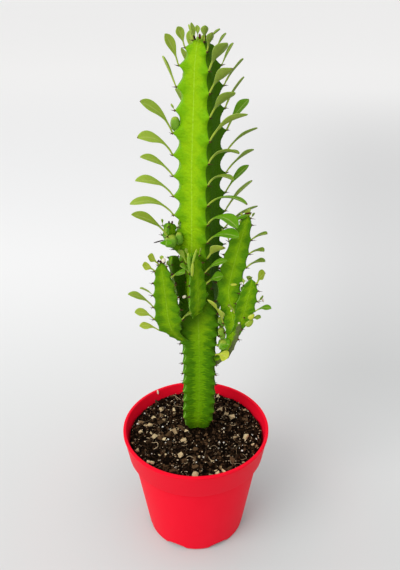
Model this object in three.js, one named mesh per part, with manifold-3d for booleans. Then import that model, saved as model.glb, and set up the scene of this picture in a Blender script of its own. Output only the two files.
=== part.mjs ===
// A young African milk tree (a columnar euphorbia) rooted in a round plastic nursery pot.
// Millimetres, +Z up. The origin is the middle of the pot's foot, on the surface it stands on.
// Seen from the front (from -Y), +X is to the right.
import * as THREE from 'three';
import { mergeVertices } from 'three/addons/utils/BufferGeometryUtils.js';
import Module from 'manifold-3d';

const wasm = await Module();
wasm.setup();

// Pot
const POT_HEIGHT = 100;
const RIM_RADIUS = 60;
const COLLAR_HEIGHT = 22.6;
const COLLAR_FOOT_RADIUS = 56.2;
const BODY_TOP_RADIUS = 53;
const FOOT_RADIUS = 41.5;
const WALL = 1.6;
const LIP = 2.4;
const LIP_DROP = 2.2;
const LIP_OUT = 0.5;
const LIP_ROUND = 0.4;
const FOOT_ROUND = 1.6;
const FLOOR_HEIGHT = 4;
const FOOT_WIDTH = 4;
const POT_SIDES = 48;
const NOTCHES = 7;
const NOTCH_HEIGHT = 3.3;
const NOTCH_TURN = 23;
const NOTCH_FIRST = -114;
const NOTCH_SIDES = 10;
const DRAIN_RADIUS = 3.5;
const DRAIN_CIRCLE = 30;
const DRAIN_SIDES = 8;

// Soil
const SOIL_HEIGHT = 91.5;
const SOIL_MOUND = 3;
const SOIL_WAVE = 0.8;
const SOIL_RINGS = 4;
const SOIL_SEED = 9;
const CHIPS = 22;
const CHIP_SIZE = 3.4;
const CHIP_SUNK = 0.5;
const CHIP_EDGE = 1.5;

// Clearance between pot and soil, round a stem's foot, and between one stem's leaves or spines and the others
const SEAT = 0.3;
const GROWN = 0.5;
const CLEAR = 0.6;

// The stems' skin: points round a rib, and how much of the scallop's depth the rings between two teeth have
const RIB_COLUMNS = 4;
const SCALLOP_SIDE = 0.88;
const LINE_DIVISIONS = 600;
const FRAME_STEP = 0.75;

// Spines and leaves
const SPINE_LENGTH = 3.2;
const SPINE_ROOT = 1.6;
const SPINE_RADIUS = 0.5;
const SPINE_SPREAD = 38;
const SPINE_SWAY = 8;
const SPINE_RISE = 0.12;
const SPINE_ASIDE = 0.75;
const SPINE_BELOW = 0.8;
const SPINE_BEHIND = 1.2;
const SPINELESS = 30;
const LEAF_ROOT = 2.2;
const LEAF_LIFT = 1;
const LEAF_THICKNESS = 1.3;
const LEAF_FOLD = 0.16;
const LEAF_STATIONS = [0, 0.27, 0.52, 0.8, 1];
const LEAF_STEPS = 12;
const LEAF_OUTLINE = [
  [0, 0.16], [0.15, 0.17], [0.32, 0.4], [0.52, 0.82], [0.7, 1], [0.86, 0.84], [0.95, 0.5], [1, 0.14],
];
const LEAF_BENDS = [0, 10, -10, 20, -20, 30, -30, 42, -42, 54, -54, 66, -66];

const UP = new THREE.Vector3(0, 1, 0);
const SIDEWAYS = new THREE.Vector3(1, 0, 0);
const radians = THREE.MathUtils.degToRad;

// A value read from a list of [place, value] stops
function along(stops, place) {
  let [before, value] = stops[0];
  for (const [after, next] of stops) {
    if (place <= after) {
      const part = after === before ? 1 : Math.max(0, (place - before) / (after - before));
      return value + (next - value) * part;
    }
    [before, value] = [after, next];
  }
  return value;
}

// A repeatable draw up to an amount either side of nothing
function sway(amount) {
  return amount * (2 * THREE.MathUtils.seededRandom() - 1);
}

function solid(geometry) {
  const bare = geometry.clone();
  bare.deleteAttribute('normal');
  bare.deleteAttribute('uv');
  const merged = mergeVertices(bare, 1e-4);
  const mesh = new wasm.Mesh({
    numProp: 3,
    vertProperties: new Float32Array(merged.attributes.position.array),
    triVerts: new Uint32Array(merged.index.array),
  });
  return new wasm.Manifold(mesh);
}

function surface(manifold) {
  const { vertProperties, triVerts } = manifold.getMesh();
  const geometry = new THREE.BufferGeometry();
  geometry.setAttribute('position', new THREE.BufferAttribute(new Float32Array(vertProperties), 3));
  geometry.setIndex(new THREE.BufferAttribute(new Uint32Array(triVerts), 1));
  return geometry;
}

// A closed skin over rings of points, each ring with as many points, closed by a fan at either end
function skin(rings, firstTip, lastTip) {
  const count = rings[0].length;
  const points = [...rings.flat(), firstTip, lastTip];
  const index = [];
  const first = rings.length * count;
  for (let ring = 0; ring + 1 < rings.length; ring += 1) {
    for (let side = 0; side < count; side += 1) {
      const a = ring * count + side;
      const b = ring * count + (side + 1) % count;
      index.push(a, b, b + count, a, b + count, a + count);
    }
  }
  const last = first - count;
  for (let side = 0; side < count; side += 1) {
    const next = (side + 1) % count;
    index.push(first, next, side, first + 1, last + side, last + next);
  }
  const geometry = new THREE.BufferGeometry();
  const places = points.flatMap((point) => point.toArray());
  geometry.setAttribute('position', new THREE.Float32BufferAttribute(places, 3));
  geometry.setIndex(index);
  return geometry;
}

function largest(manifold) {
  return manifold.decompose().reduce((most, scrap) => (scrap.volume() > most.volume() ? scrap : most));
}

function centreOf(points) {
  return points.reduce((sum, point) => sum.add(point), new THREE.Vector3()).divideScalar(points.length);
}

// A ribbed stem. Depths are measured along its middle line, down from the growing tip.
class Stem {
  constructor(options) {
    Object.assign(this, options);
    const stops = this.path.map((place) => new THREE.Vector3(...place));
    this.line = new THREE.CatmullRomCurve3(stops, false, 'catmullrom', 0.5);
    this.line.arcLengthDivisions = LINE_DIVISIONS;
    this.length = this.line.getLength();
    this.rows = [this.pitch[0][0]];
    while (this.rows.at(-1) < this.length) {
      const last = this.rows.at(-1);
      this.rows.push(last + along(this.pitch, last));
    }
  }

  middle(depth) {
    const place = THREE.MathUtils.clamp(1 - depth / this.length, 0, 1);
    return this.line.getPointAt(place);
  }

  frame(depth) {
    const rise = this.middle(depth - FRAME_STEP).sub(this.middle(depth + FRAME_STEP)).normalize();
    const across = SIDEWAYS.clone().addScaledVector(rise, -rise.dot(SIDEWAYS)).normalize();
    const back = new THREE.Vector3().crossVectors(rise, across);
    return { centre: this.middle(depth), rise, across, back };
  }

  depthAt(row) {
    const whole = Math.min(Math.floor(row), this.rows.length - 2);
    const start = this.rows[whole];
    return Math.min(start + (row - whole) * (this.rows[whole + 1] - start), this.length);
  }

  // A point at a depth, an angle in degrees from the first rib and a distance from the middle line
  point(depth, angle, distance) {
    const { centre, rise, across, back } = this.frame(depth);
    const turn = radians(along(this.turn, depth) + angle);
    const out = across.multiplyScalar(Math.cos(turn)).addScaledVector(back, Math.sin(turn));
    const side = new THREE.Vector3().crossVectors(rise, out);
    return { place: centre.addScaledVector(out, distance), out, side, rise };
  }

  tooth(rib, row) {
    const depth = this.depthAt(row + this.stagger[rib]);
    return this.point(depth, (rib * 360) / this.ribs, along(this.radius, depth));
  }

  // One ring of the skin: ridge, flank, valley and flank for each rib
  ring(row, scallop, grown) {
    const points = [];
    const columns = this.ribs * RIB_COLUMNS;
    for (let column = 0; column < columns; column += 1) {
      const rib = Math.floor(column / RIB_COLUMNS);
      const part = (column % RIB_COLUMNS) / RIB_COLUMNS;
      const next = (rib + 1) % this.ribs;
      const lag = this.stagger[rib] * (1 - part) + this.stagger[next] * part;
      const depth = this.depthAt(row + lag);
      const whole = along(this.radius, depth);
      const valley = whole * this.valley;
      const bite = part === 0 ? scallop * along(this.notch, depth) : 0;
      const rise = Math.abs(2 * part - 1) ** this.flank;
      const distance = valley + (whole - valley) * rise - bite + grown;
      points.push(this.point(depth, (column * 360) / columns, distance).place);
    }
    return points;
  }

  body(grown = 0) {
    const rings = [];
    for (let step = 0; this.depthAt(step / this.toothRings + 0.5) < this.length - 1; step += 1) {
      rings.push(this.ring(step / this.toothRings, step % this.toothRings === 0 ? 0 : SCALLOP_SIDE, grown));
    }
    rings.push(this.ring(this.rows.length, 1, grown));
    rings.reverse();
    const tip = this.middle(0).addScaledVector(this.frame(0).rise, grown);
    return solid(skin(rings, centreOf(rings[0]), tip));
  }
}

// A leaf is a spatula-shaped blade on a short stalk, that rises out of the rib just above a tooth.
// It is given as [row, length, angle at its foot, angle at its tip, turn aside, roll, width]. Its angles are
// in degrees above the level, and the turn is to the left as seen from outside.
class Leaf {
  constructor(stem, rib, [row, long, foot, tip, aside, roll, wide], bend) {
    const { place, out, side, rise } = stem.tooth(rib, row);
    const yaw = radians(aside + bend);
    this.long = long;
    this.wide = wide;
    this.foot = radians(foot);
    this.tip = radians(tip);
    this.roll = radians(roll);
    this.rise = rise;
    this.forward = out.clone().multiplyScalar(Math.cos(yaw)).addScaledVector(side, Math.sin(yaw));
    this.side = new THREE.Vector3().crossVectors(rise, this.forward);
    this.root = place.clone().addScaledVector(out, -LEAF_ROOT);
    this.start = place.addScaledVector(rise, LEAF_LIFT);
  }

  heading(part) {
    if (part === 0) {
      return this.forward.clone().addScaledVector(this.rise, 0.5).normalize();
    }
    const angle = this.foot + (this.tip - this.foot) * part;
    return this.forward.clone().multiplyScalar(Math.cos(angle)).addScaledVector(this.rise, Math.sin(angle));
  }

  midrib(part) {
    if (part === 0) {
      return this.root.clone();
    }
    const place = this.start.clone();
    for (let step = 0; step < Math.round(LEAF_STEPS * part); step += 1) {
      place.addScaledVector(this.heading((step + 0.5) / LEAF_STEPS), this.long / LEAF_STEPS);
    }
    return place;
  }

  blade() {
    const rings = LEAF_STATIONS.map((part) => {
      const heading = this.heading(part);
      const edge = this.side.clone().applyAxisAngle(heading, this.roll);
      const upper = new THREE.Vector3().crossVectors(heading, edge);
      const half = 0.5 * this.wide * along(LEAF_OUTLINE, part);
      const thick = 0.5 * LEAF_THICKNESS * (part === 1 ? 0.5 : 1);
      const middle = this.midrib(part).addScaledVector(upper, -half * LEAF_FOLD);
      const lift = half * LEAF_FOLD * 2;
      return [
        middle.clone().addScaledVector(edge, half).addScaledVector(upper, lift),
        middle.clone().addScaledVector(upper, thick),
        middle.clone().addScaledVector(edge, -half).addScaledVector(upper, lift),
        middle.clone().addScaledVector(upper, -thick),
      ];
    });
    return solid(skin(rings, centreOf(rings[0]), centreOf(rings.at(-1))));
  }
}

// One of the two spines that spread sideways from a tooth, rooted on its flank just below its point
function spineSolid(stem, rib, row, hand) {
  const { place, out, side, rise } = stem.tooth(rib, row);
  const spread = radians(SPINE_SPREAD * hand + sway(SPINE_SWAY));
  const heading = out.clone().multiplyScalar(Math.cos(spread)).addScaledVector(side, Math.sin(spread));
  heading.addScaledVector(rise, SPINE_RISE).normalize();
  const foot = place.clone().addScaledVector(side, hand * SPINE_ASIDE);
  foot.addScaledVector(rise, -SPINE_BELOW).addScaledVector(out, -SPINE_BEHIND);
  const cone = new THREE.ConeGeometry(SPINE_RADIUS, SPINE_LENGTH + SPINE_ROOT, 3);
  cone.translate(0, (SPINE_LENGTH - SPINE_ROOT) / 2, 0);
  cone.applyQuaternion(new THREE.Quaternion().setFromUnitVectors(UP, heading));
  cone.translate(foot.x, foot.y, foot.z);
  return solid(cone);
}

const MAIN = {
  name: 'main_stem',
  seed: 1,
  path: [
    [0.5, 9, 68], [1.2, 9, 95], [2.6, 9, 125], [2.8, 8.5, 160], [3, 7, 250], [3.4, 6, 340], [3.8, 5.5, 398],
  ],
  ribs: 4,
  toothRings: 3,
  stagger: [0.14, 0.3, 0.2, 0.04],
  turn: [[0, 201], [50, 201], [80, 197], [150, 197], [192, 222], [232, 225], [400, 225]],
  radius: [
    [0, 2], [1.2, 4.6], [4.4, 10], [14, 14.5], [27, 16.5], [41, 17.5], [56, 19.3], [112, 19.3],
    [160, 19.4], [184, 21], [196, 23.2], [205, 22], [214, 20.4], [224, 18.8], [285, 18.6], [295, 16.5],
    [301, 12], [306, 9], [340, 8],
  ],
  valley: 0.6,
  flank: 2.1,
  pitch: [
    [1.2, 3.2], [4.4, 9.9], [14, 12.2], [27, 14.4], [70, 14.5], [100, 13.8], [125, 12.6], [200, 9.6],
    [300, 9],
  ],
  notch: [[0, 1.4], [14, 3.7], [60, 4.4], [200, 3.8], [240, 3.2], [290, 2.8], [300, 1]],
  leaves: [
    [
      [0, 8.5, 84, 64, 0, -20, 3.6],
      [1, 12, 76, 60, 0, -75, 6.2],
      [2, 19.5, 76, 54, 0, -70, 6.8],
      [3, 19.5, 72, 60, 0, -25, 5.6],
      [4, 4, 70, 50, 0, 0, 2.4],
      [5, 30, 70, 20, 0, -45, 9],
      [6, 28, 66, -10, 0, -35, 9],
      [7, 26.5, 60, 6, 0, -25, 7.6],
      [8, 30, 60, -8, 0, -25, 8],
      [9, 34, 58, -20, 0, -25, 8.4],
    ],
    [
      [0, 8.5, 88, 80, 0, 0, 5],
      [1, 11, 80, 60, 26, 0, 6],
      [2, 20.5, 70, 34, 34, -25, 9.4],
      [3, 22.5, 66, 22, 34, -25, 8.6],
      [4, 24.5, 65, 21, 34, -25, 8.6],
      [5, 31, 65, 9, 50, -20, 9.2],
      [6, 26, 68, -22, 42, -10, 8],
      [7, 23, 66, -30, 38, 0, 7],
      [8, 32, 53, -31, 43, -5, 6.4],
      [9, 28, 64, -52, 38, 15, 10.2],
      [10, 28, 56, -14, 38, 20, 10.2],
      [11, 20.5, 62, 22, 28, -30, 10.4],
      [18, 10.5, 44, -10, 20, 35, 9.4],
      [19, 10, 26, -34, 20, 35, 9.4],
    ],
    [
      [0, 9, 50, 26, 0, 0, 3],
      [1, 9.6, 62, 42, 0, 0, 3.6],
      [2, 14, 70, 50, 0, 0, 4.6],
      [3, 20, 66, 35, 0, -30, 6],
      [4, 22.5, 72, 40, 0, -30, 6.4],
      [5, 24, 66, 36, 0, 20, 9],
      [6, 26.5, 58, 8, 0, -30, 7],
      [7, 24.5, 58, 14, 0, -30, 6.4],
      [8, 24, 62, 32, 0, 15, 7.4],
      [9, 28, 62, 30, 0, -15, 8.4],
      [10, 28.5, 50, 8, 0, -25, 7],
    ],
    [
      [0, 7, 84, 70, 0, 0, 3.4],
      [1, 12, 78, 60, 12, 20, 4.8],
      [2, 18, 74, 54, -8, -10, 6],
      [3, 21, 72, 42, 15, 20, 7.4],
      [4, 25, 72, 30, -12, -20, 8.4],
      [5, 28, 70, 18, 10, 15, 9],
      [6, 28, 70, 4, -10, -20, 8.6],
      [7, 27, 68, 0, 14, 20, 8.6],
      [8, 29, 66, -8, -12, -10, 9],
      [9, 28, 64, -14, 8, 10, 8.6],
      [10, 26, 62, -16, -10, -10, 8.4],
      [11, 20, 60, -10, 0, 0, 7],
    ],
  ],
};

const SHOOT = {
  ribs: 3,
  toothRings: 2,
  stagger: [0.5, 0, 0.25],
  turn: [[0, 210]],
  valley: 0.44,
  flank: 2.3,
};

const SHOOTS = [
  {
    ...SHOOT,
    name: 'shoot_right_tall',
    seed: 2,
    carrier: 'main_stem',
    path: [
      [10, 3.5, 160], [21, 0, 169.5], [25.4, -3.5, 180], [27.8, -5.5, 190], [28.2, -8, 206], [26, -8, 220],
      [24.4, -7, 232], [27.8, -4, 250], [31.8, -2, 266], [36.6, -1, 285],
    ],
    turn: [[0, 205], [120, 200]],
    radius: [
      [0, 1.5], [3.5, 4.8], [10, 6.8], [20, 9.4], [36, 11], [54, 10.8], [66, 10.8], [76, 10.2], [86, 7.8],
      [96, 6.2], [104, 5.4], [112, 5.2], [140, 5],
    ],
    pitch: [[1.5, 4], [5.5, 10.2], [120, 10.2]],
    notch: [[0, 0.8], [12, 1.8], [80, 1.8], [98, 0.8]],
    leaves: [
      [
        [0, 4, 80, 70, 0, 0, 2.4],
        [2, 12, 64, 20, 10, 0, 5.5],
        [7, 16, 72, 50, 22, 0, 7.4],
        [8, 15, 80, 66, 34, 0, 7.4],
      ],
      [
        [0, 4, 80, 66, 0, 0, 2.4],
        [2, 13, 60, 20, 0, 20, 6],
        [3, 12, 60, -2, 0, 20, 6],
        [4, 15.5, 62, 6, 0, 20, 7],
      ],
      [
        [0, 5, 80, 66, 0, 0, 2.4],
        [1, 9, 70, 30, 0, 0, 5],
        [2, 13, 64, 10, 10, 0, 6],
        [4, 14, 60, 0, -10, 0, 6],
        [6, 12, 56, 0, 0, 0, 6],
      ],
    ],
  },
  {
    ...SHOOT,
    name: 'shoot_left_front',
    seed: 3,
    carrier: 'main_stem',
    path: [
      [-4, 2, 182], [-10.5, -5.5, 189], [-16, -11.5, 199], [-19.2, -13, 211], [-20.6, -13.4, 226],
      [-22.2, -13, 241], [-23.5, -13, 254.5],
    ],
    stagger: [0, 0.35, 0.6],
    radius: [
      [0, 1.5], [3, 5.2], [7, 7.4], [16, 9.4], [24, 10.6], [36, 11.8], [46, 12.2], [52, 9.8], [58, 6],
      [66, 4.4], [90, 4.4],
    ],
    pitch: [[1, 4], [5, 8.4], [14, 9.2], [90, 9.4]],
    notch: [[0, 0.8], [10, 1.8], [52, 2], [62, 0.6]],
    leaves: [
      [
        [0, 9.5, 60, 40, -10, -40, 7],
        [1, 9.5, 50, 24, -10, -35, 7.4],
        [3, 11, 64, 22, -10, 0, 2.8],
        [4, 22, 64, 18, -10, -30, 6],
        [5, 16, 64, 10, -10, -38, 6.6],
        [6, 15.5, 62, 16, -10, -28, 6],
      ],
      [[0, 4, 80, 60, 0, 0, 2.4], [1.3, 15, 45, 5, -15, 20, 7], [5, 10, 60, 10, 20, 0, 5]],
      [[0, 5, 70, 40, 0, 0, 3], [2, 13, 60, 6, 10, 0, 6], [4, 15, 56, -4, -10, 0, 7]],
    ],
  },
  {
    ...SHOOT,
    name: 'shoot_front',
    seed: 4,
    carrier: 'main_stem',
    path: [[0.5, 2, 207], [0, -7, 212], [-0.5, -13.5, 222], [-0.7, -15.5, 238], [-2, -15.5, 263]],
    turn: [[0, 252], [60, 245]],
    radius: [[0, 1.5], [3, 5], [10, 7.4], [20, 9.2], [34, 10.4], [42, 9], [50, 6], [70, 5]],
    pitch: [[3, 5.4], [8, 8.2], [70, 8.6]],
    notch: [[0, 0.7], [10, 1.4], [40, 1.4], [50, 0.5]],
    leaves: [
      [[0, 5, 82, 74, 0, 0, 2.2], [1, 9.5, 70, 26, -50, -20, 6]],
      [[0, 5, 82, 70, 0, 0, 2.2], [2, 18.5, 55, 6, -20, 15, 6.5], [3, 13, 50, 5, -20, 20, 9]],
      [[0, 5, 80, 70, 0, 0, 2.4], [1, 11, 66, 20, 0, 0, 5]],
    ],
  },
  {
    ...SHOOT,
    name: 'shoot_right_front',
    seed: 5,
    carrier: 'shoot_right_tall',
    path: [[27.5, -5.5, 191], [31.5, -8.5, 200], [34.2, -11, 211], [36.4, -13, 224], [39.8, -14, 242]],
    radius: [[0, 1.5], [2.5, 5.4], [7, 7.4], [14, 8.8], [24, 9.2], [32, 7.6], [40, 5.2], [70, 3.8]],
    pitch: [[2, 4.6], [6.6, 8.2], [60, 8.6]],
    notch: [[0, 0.7], [10, 1.5], [32, 1.5], [40, 0.5]],
    leaves: [
      [[0, 5, 80, 60, 0, 0, 3], [3, 11, 70, 30, 0, 0, 5]],
      [
        [0, 10.5, 92, 50, 6, 40, 9.4],
        [2, 6, 60, 80, 0, 0, 3],
        [3, 13, 62, 8, 0, 10, 5.4],
        [4, 8, 60, 20, 0, 20, 4.6],
      ],
      [[1, 6, 50, 20, 0, 0, 4.4], [3, 12, 60, 0, 0, 0, 6]],
    ],
  },
  {
    ...SHOOT,
    name: 'shoot_left_back',
    seed: 6,
    carrier: 'main_stem',
    path: [[-6, 3, 257], [-13, 0.8, 260], [-17.8, -1.2, 267], [-17.6, -2.2, 280]],
    stagger: [0, 0.5, 0.5],
    turn: [[0, 262]],
    radius: [[0, 1.6], [2.5, 5.4], [7, 7.2], [13, 7], [19, 5], [30, 4.2]],
    pitch: [[1.6, 6], [8, 8]],
    notch: [[0, 0.8], [6, 2.2], [20, 1.6]],
    leaves: [
      [[1, 32.5, 60, 13, -60, -25, 8.6], [1.4, 6.5, 20, -40, 0, 0, 8.8]],
      [[0, 5, 82, 70, 0, 0, 2.4]],
      [[0, 4, 80, 70, 0, 0, 2.2]],
    ],
  },
  {
    ...SHOOT,
    name: 'shoot_left_small',
    seed: 7,
    carrier: 'main_stem',
    path: [[-6, 2, 212], [-10.6, -1.5, 225], [-12.8, -4.6, 239], [-14.8, -6.6, 248], [-15.6, -7.8, 257.5]],
    radius: [[0, 1.2], [2.4, 4.6], [7, 6], [14, 6.8], [24, 7.2], [34, 7], [44, 5.4], [60, 5]],
    turn: [[0, 262]],
    pitch: [[1.8, 5.4], [8, 8.2]],
    notch: [[0, 0.7], [10, 1.4], [44, 1.4], [50, 0.5]],
    leaves: [[], [], []],
  },
];

const stems = [MAIN, ...SHOOTS].map((options) => new Stem(options));
const byName = new Map(stems.map((stem) => [stem.name, stem]));

// Each shoot is cut clear of the stem that carries it
for (const stem of stems) {
  const body = stem.body();
  stem.solid = stem.carrier ? largest(body.subtract(byName.get(stem.carrier).body(GROWN))) : body;
}

function isClear(shape, stem) {
  return stems.every((other) => other === stem || shape.minGap(other.solid, CLEAR) >= CLEAR);
}

// The stem's leaves. Each keeps its own heading where it can, and is bent clear of the other stems elsewhere.
function growLeaves(stem) {
  const leaves = [];
  stem.leaves.forEach((onRib, rib) => onRib.forEach((habit) => {
    for (const bend of LEAF_BENDS) {
      const blade = new Leaf(stem, rib, habit, bend).blade();
      if (isClear(blade, stem)) {
        leaves.push(blade);
        break;
      }
    }
  }));
  stem.solid = wasm.Manifold.union([stem.solid, ...leaves]);
}

// The stem's spines, where they stand clear of the other stems
function growSpines(stem) {
  THREE.MathUtils.seededRandom(stem.seed);
  const spines = [];
  for (let row = 0; stem.depthAt(row + 0.5) < stem.length - SPINELESS; row += 1) {
    for (let rib = 0; rib < stem.ribs; rib += 1) {
      const pair = [-1, 1].map((hand) => spineSolid(stem, rib, row, hand));
      spines.push(...pair.filter((spine) => isClear(spine, stem)));
    }
  }
  stem.solid = wasm.Manifold.union([stem.solid, ...spines]);
}

stems.forEach(growLeaves);
stems.forEach(growSpines);

// The pot: a turned wall with a collar, and a raised floor in a notched foot
function potSolid() {
  const collarFoot = POT_HEIGHT - COLLAR_HEIGHT;
  const profile = [
    [0, FLOOR_HEIGHT],
    [FOOT_RADIUS - FOOT_WIDTH, FLOOR_HEIGHT],
    [FOOT_RADIUS - FOOT_WIDTH, 0],
    [FOOT_RADIUS - FOOT_ROUND, 0],
    [FOOT_RADIUS, FOOT_ROUND],
    [BODY_TOP_RADIUS, collarFoot],
    [COLLAR_FOOT_RADIUS, collarFoot],
    [RIM_RADIUS - LIP_OUT, POT_HEIGHT - LIP_DROP],
    [RIM_RADIUS, POT_HEIGHT - LIP_DROP],
    [RIM_RADIUS, POT_HEIGHT - LIP_ROUND],
    [RIM_RADIUS - LIP_ROUND, POT_HEIGHT],
    [RIM_RADIUS - LIP, POT_HEIGHT],
    [COLLAR_FOOT_RADIUS - WALL, collarFoot + WALL],
    [BODY_TOP_RADIUS - WALL, collarFoot],
    [FOOT_RADIUS - WALL, FLOOR_HEIGHT + WALL],
    [0, FLOOR_HEIGHT + WALL],
  ];
  const lathe = new THREE.LatheGeometry(profile.map(([r, z]) => new THREE.Vector2(r, z)), POT_SIDES);
  lathe.rotateX(Math.PI / 2);
  const cuts = [];
  const notchRadius = FOOT_RADIUS * Math.sin(radians(NOTCH_TURN / 2));
  for (let notch = 0; notch < NOTCHES; notch += 1) {
    const turn = radians(NOTCH_FIRST + (notch * 360) / NOTCHES);
    const arch = new THREE.CylinderGeometry(notchRadius, notchRadius, FOOT_WIDTH * 4, NOTCH_SIDES);
    arch.scale(1, 1, NOTCH_HEIGHT / notchRadius);
    arch.translate(0, FOOT_RADIUS, 0);
    arch.rotateZ(turn - Math.PI / 2);
    const drain = new THREE.CylinderGeometry(DRAIN_RADIUS, DRAIN_RADIUS, FLOOR_HEIGHT * 4, DRAIN_SIDES);
    drain.rotateX(Math.PI / 2);
    drain.translate(DRAIN_CIRCLE * Math.cos(turn), DRAIN_CIRCLE * Math.sin(turn), FLOOR_HEIGHT);
    cuts.push(solid(arch), solid(drain));
  }
  return solid(lathe).subtract(wasm.Manifold.union(cuts));
}

// The soil's top: a low mound towards the stem, uneven by about a millimetre
function soilTop(x, y) {
  const out = Math.hypot(x, y) / RIM_RADIUS;
  const waves = Math.sin(0.13 * x + 0.7) * Math.cos(0.11 * y - 0.4) + 0.5 * Math.sin(0.31 * x - 0.23 * y);
  return SOIL_HEIGHT + SOIL_MOUND * (1 - out * out) + SOIL_WAVE * waves;
}

function soilCircle(radius, height) {
  return Array.from({ length: POT_SIDES }, (_, side) => {
    const turn = (side * 2 * Math.PI) / POT_SIDES;
    const [x, y] = [radius * Math.cos(turn), radius * Math.sin(turn)];
    return new THREE.Vector3(x, y, height ?? soilTop(x, y));
  });
}

// A bark chip that lies half sunk in the soil's top
function chipSolid(chip, reach) {
  const { seededRandom } = THREE.MathUtils;
  const turn = chip * Math.PI * (3 - Math.sqrt(5)) + sway(0.5);
  const [x, y] = [reach * Math.cos(turn), reach * Math.sin(turn)];
  const bark = new THREE.OctahedronGeometry(CHIP_SIZE * (0.6 + 0.6 * seededRandom()));
  bark.scale(1, 0.5 + 0.4 * seededRandom(), 0.55);
  bark.rotateX(sway(0.5));
  bark.rotateZ(sway(Math.PI));
  bark.translate(x, y, soilTop(x, y) + CHIP_SUNK);
  return solid(bark);
}

// The soil fills the pot to a little below its rim, a hair clear of the wall, and has the stem's hole
function soilSolid() {
  const collarFoot = POT_HEIGHT - COLLAR_HEIGHT;
  const slope = (RIM_RADIUS - LIP - COLLAR_FOOT_RADIUS + WALL) / (COLLAR_HEIGHT - WALL);
  const topRadius = COLLAR_FOOT_RADIUS - WALL + slope * (SOIL_HEIGHT - collarFoot - WALL) - 2 * SEAT;
  const floor = FLOOR_HEIGHT + WALL + SEAT;
  const rings = [
    soilCircle(FOOT_RADIUS - WALL - 2 * SEAT, floor),
    soilCircle(BODY_TOP_RADIUS - WALL - 2 * SEAT, collarFoot + SEAT),
    soilCircle(COLLAR_FOOT_RADIUS - WALL - 2 * SEAT, collarFoot + WALL + 2 * SEAT),
  ];
  for (let ring = 0; ring < SOIL_RINGS; ring += 1) {
    rings.push(soilCircle(topRadius * (1 - ring / SOIL_RINGS)));
  }
  const middle = new THREE.Vector3(0, 0, soilTop(0, 0));
  const fill = solid(skin(rings, new THREE.Vector3(0, 0, floor), middle));
  THREE.MathUtils.seededRandom(SOIL_SEED);
  const chips = Array.from({ length: CHIPS }, (_, chip) => (
    chipSolid(chip, (topRadius - CHIP_SIZE - CHIP_EDGE) * Math.sqrt((chip + 0.5) / CHIPS))
  ));
  return largest(wasm.Manifold.union([fill, ...chips]).subtract(byName.get('main_stem').body(GROWN)));
}

const MATERIALS = {
  pot: { color: 0xdf1a33, roughness: 0.38, metalness: 0 },
  soil: { color: 0x2f2219, roughness: 0.95, metalness: 0 },
  stem: { color: 0x6fae1c, roughness: 0.5, metalness: 0 },
};

function piece(name, manifold, material) {
  const mesh = new THREE.Mesh(surface(manifold), new THREE.MeshStandardMaterial(MATERIALS[material]));
  mesh.name = name;
  return mesh;
}

const plant = new THREE.Group();
plant.add(piece('pot', potSolid(), 'pot'));
plant.add(piece('soil', soilSolid(), 'soil'));
for (const stem of stems) {
  plant.add(piece(stem.name, stem.solid, 'stem'));
}

export default plant;
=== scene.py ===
"""A potted columnar euphorbia, dressed for its photograph.

Lengths in the classes below are in millimetres and the finished meshes are in metres. Each sub-assembly is
a class that builds its meshes and dresses them: the pot, the potting mix, the ribbed stems with their
leaves and spines, the small lumps on them, and the studio.
"""
import logging
import math
import random
from bisect import bisect_right
from dataclasses import dataclass, field, replace
from enum import Enum
from typing import Callable, Sequence

import bmesh
import bpy
from mathutils import Matrix, Vector, noise


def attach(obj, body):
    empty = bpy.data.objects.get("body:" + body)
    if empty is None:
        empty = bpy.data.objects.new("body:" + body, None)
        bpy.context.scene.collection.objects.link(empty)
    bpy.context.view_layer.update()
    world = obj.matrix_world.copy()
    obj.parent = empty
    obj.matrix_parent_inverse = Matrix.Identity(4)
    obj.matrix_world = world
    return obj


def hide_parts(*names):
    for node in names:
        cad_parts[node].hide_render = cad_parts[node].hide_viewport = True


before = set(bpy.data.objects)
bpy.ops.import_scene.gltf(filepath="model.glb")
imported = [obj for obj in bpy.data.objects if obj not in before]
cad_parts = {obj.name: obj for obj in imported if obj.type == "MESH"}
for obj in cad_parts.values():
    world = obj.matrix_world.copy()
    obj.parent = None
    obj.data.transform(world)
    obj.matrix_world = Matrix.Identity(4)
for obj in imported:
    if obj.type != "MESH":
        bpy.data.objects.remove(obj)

log = logging.getLogger("euphorbia")

MM = 0.001
MERGE = 1e-7
UP = Vector((0.0, 0.0, 1.0))
SIDEWAYS = Vector((1.0, 0.0, 0.0))
# The side turned from the light, where the stems' skin and leaves are darkened as painted shade.
SHADED_SIDE = Vector((0.91, -0.41, 0.0))

Mesh = bmesh.types.BMesh
Socket = bpy.types.NodeSocket
Material = bpy.types.Material

# A Range is a pair of values: the ends of a step or a run, or a noise's scale and its finer layers. A Step
# has a third value, the most that it comes to. A Soft is the light that passes under a surface: its weight,
# its reach in metres and its colour shares. A Stretch is a noise's scale, finer layers and two stretches.
Range = tuple[float, float]
Step = tuple[float, float, float]
Soft = tuple[float, float, tuple[float, float, float]]
Stretch = tuple[float, float, float, float]
Colour = tuple[float, float, float]
Place = tuple[float, float, float]
Stops = Sequence[Range]


def along(stops: Stops, place: float) -> float:
    """Read a value from a list of (place, value) stops.

    Args:
        stops: The stops, in order of place.
        place: Where to read.

    Returns:
        The value there, level beyond either end.
    """
    before, value = stops[0]
    for after, following in stops:
        if place <= after:
            part = 1.0 if after == before else max(0.0, (place - before) / (after - before))
            return value + (following - value) * part
        before, value = after, following
    return value


def soft_min(first: float, second: float, width: float) -> float:
    """Return the lesser of two values, rounded where they meet over the given width."""
    near = max(width - abs(first - second), 0.0) / width
    return min(first, second) - near * near * width * 0.25


def round_at(radius: float, turn: float, height: float = 0.0) -> Vector:
    """Return the place at a radius, a turn in radians and a height."""
    return Vector((radius * math.cos(turn), radius * math.sin(turn), height))


# Shader maths


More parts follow.
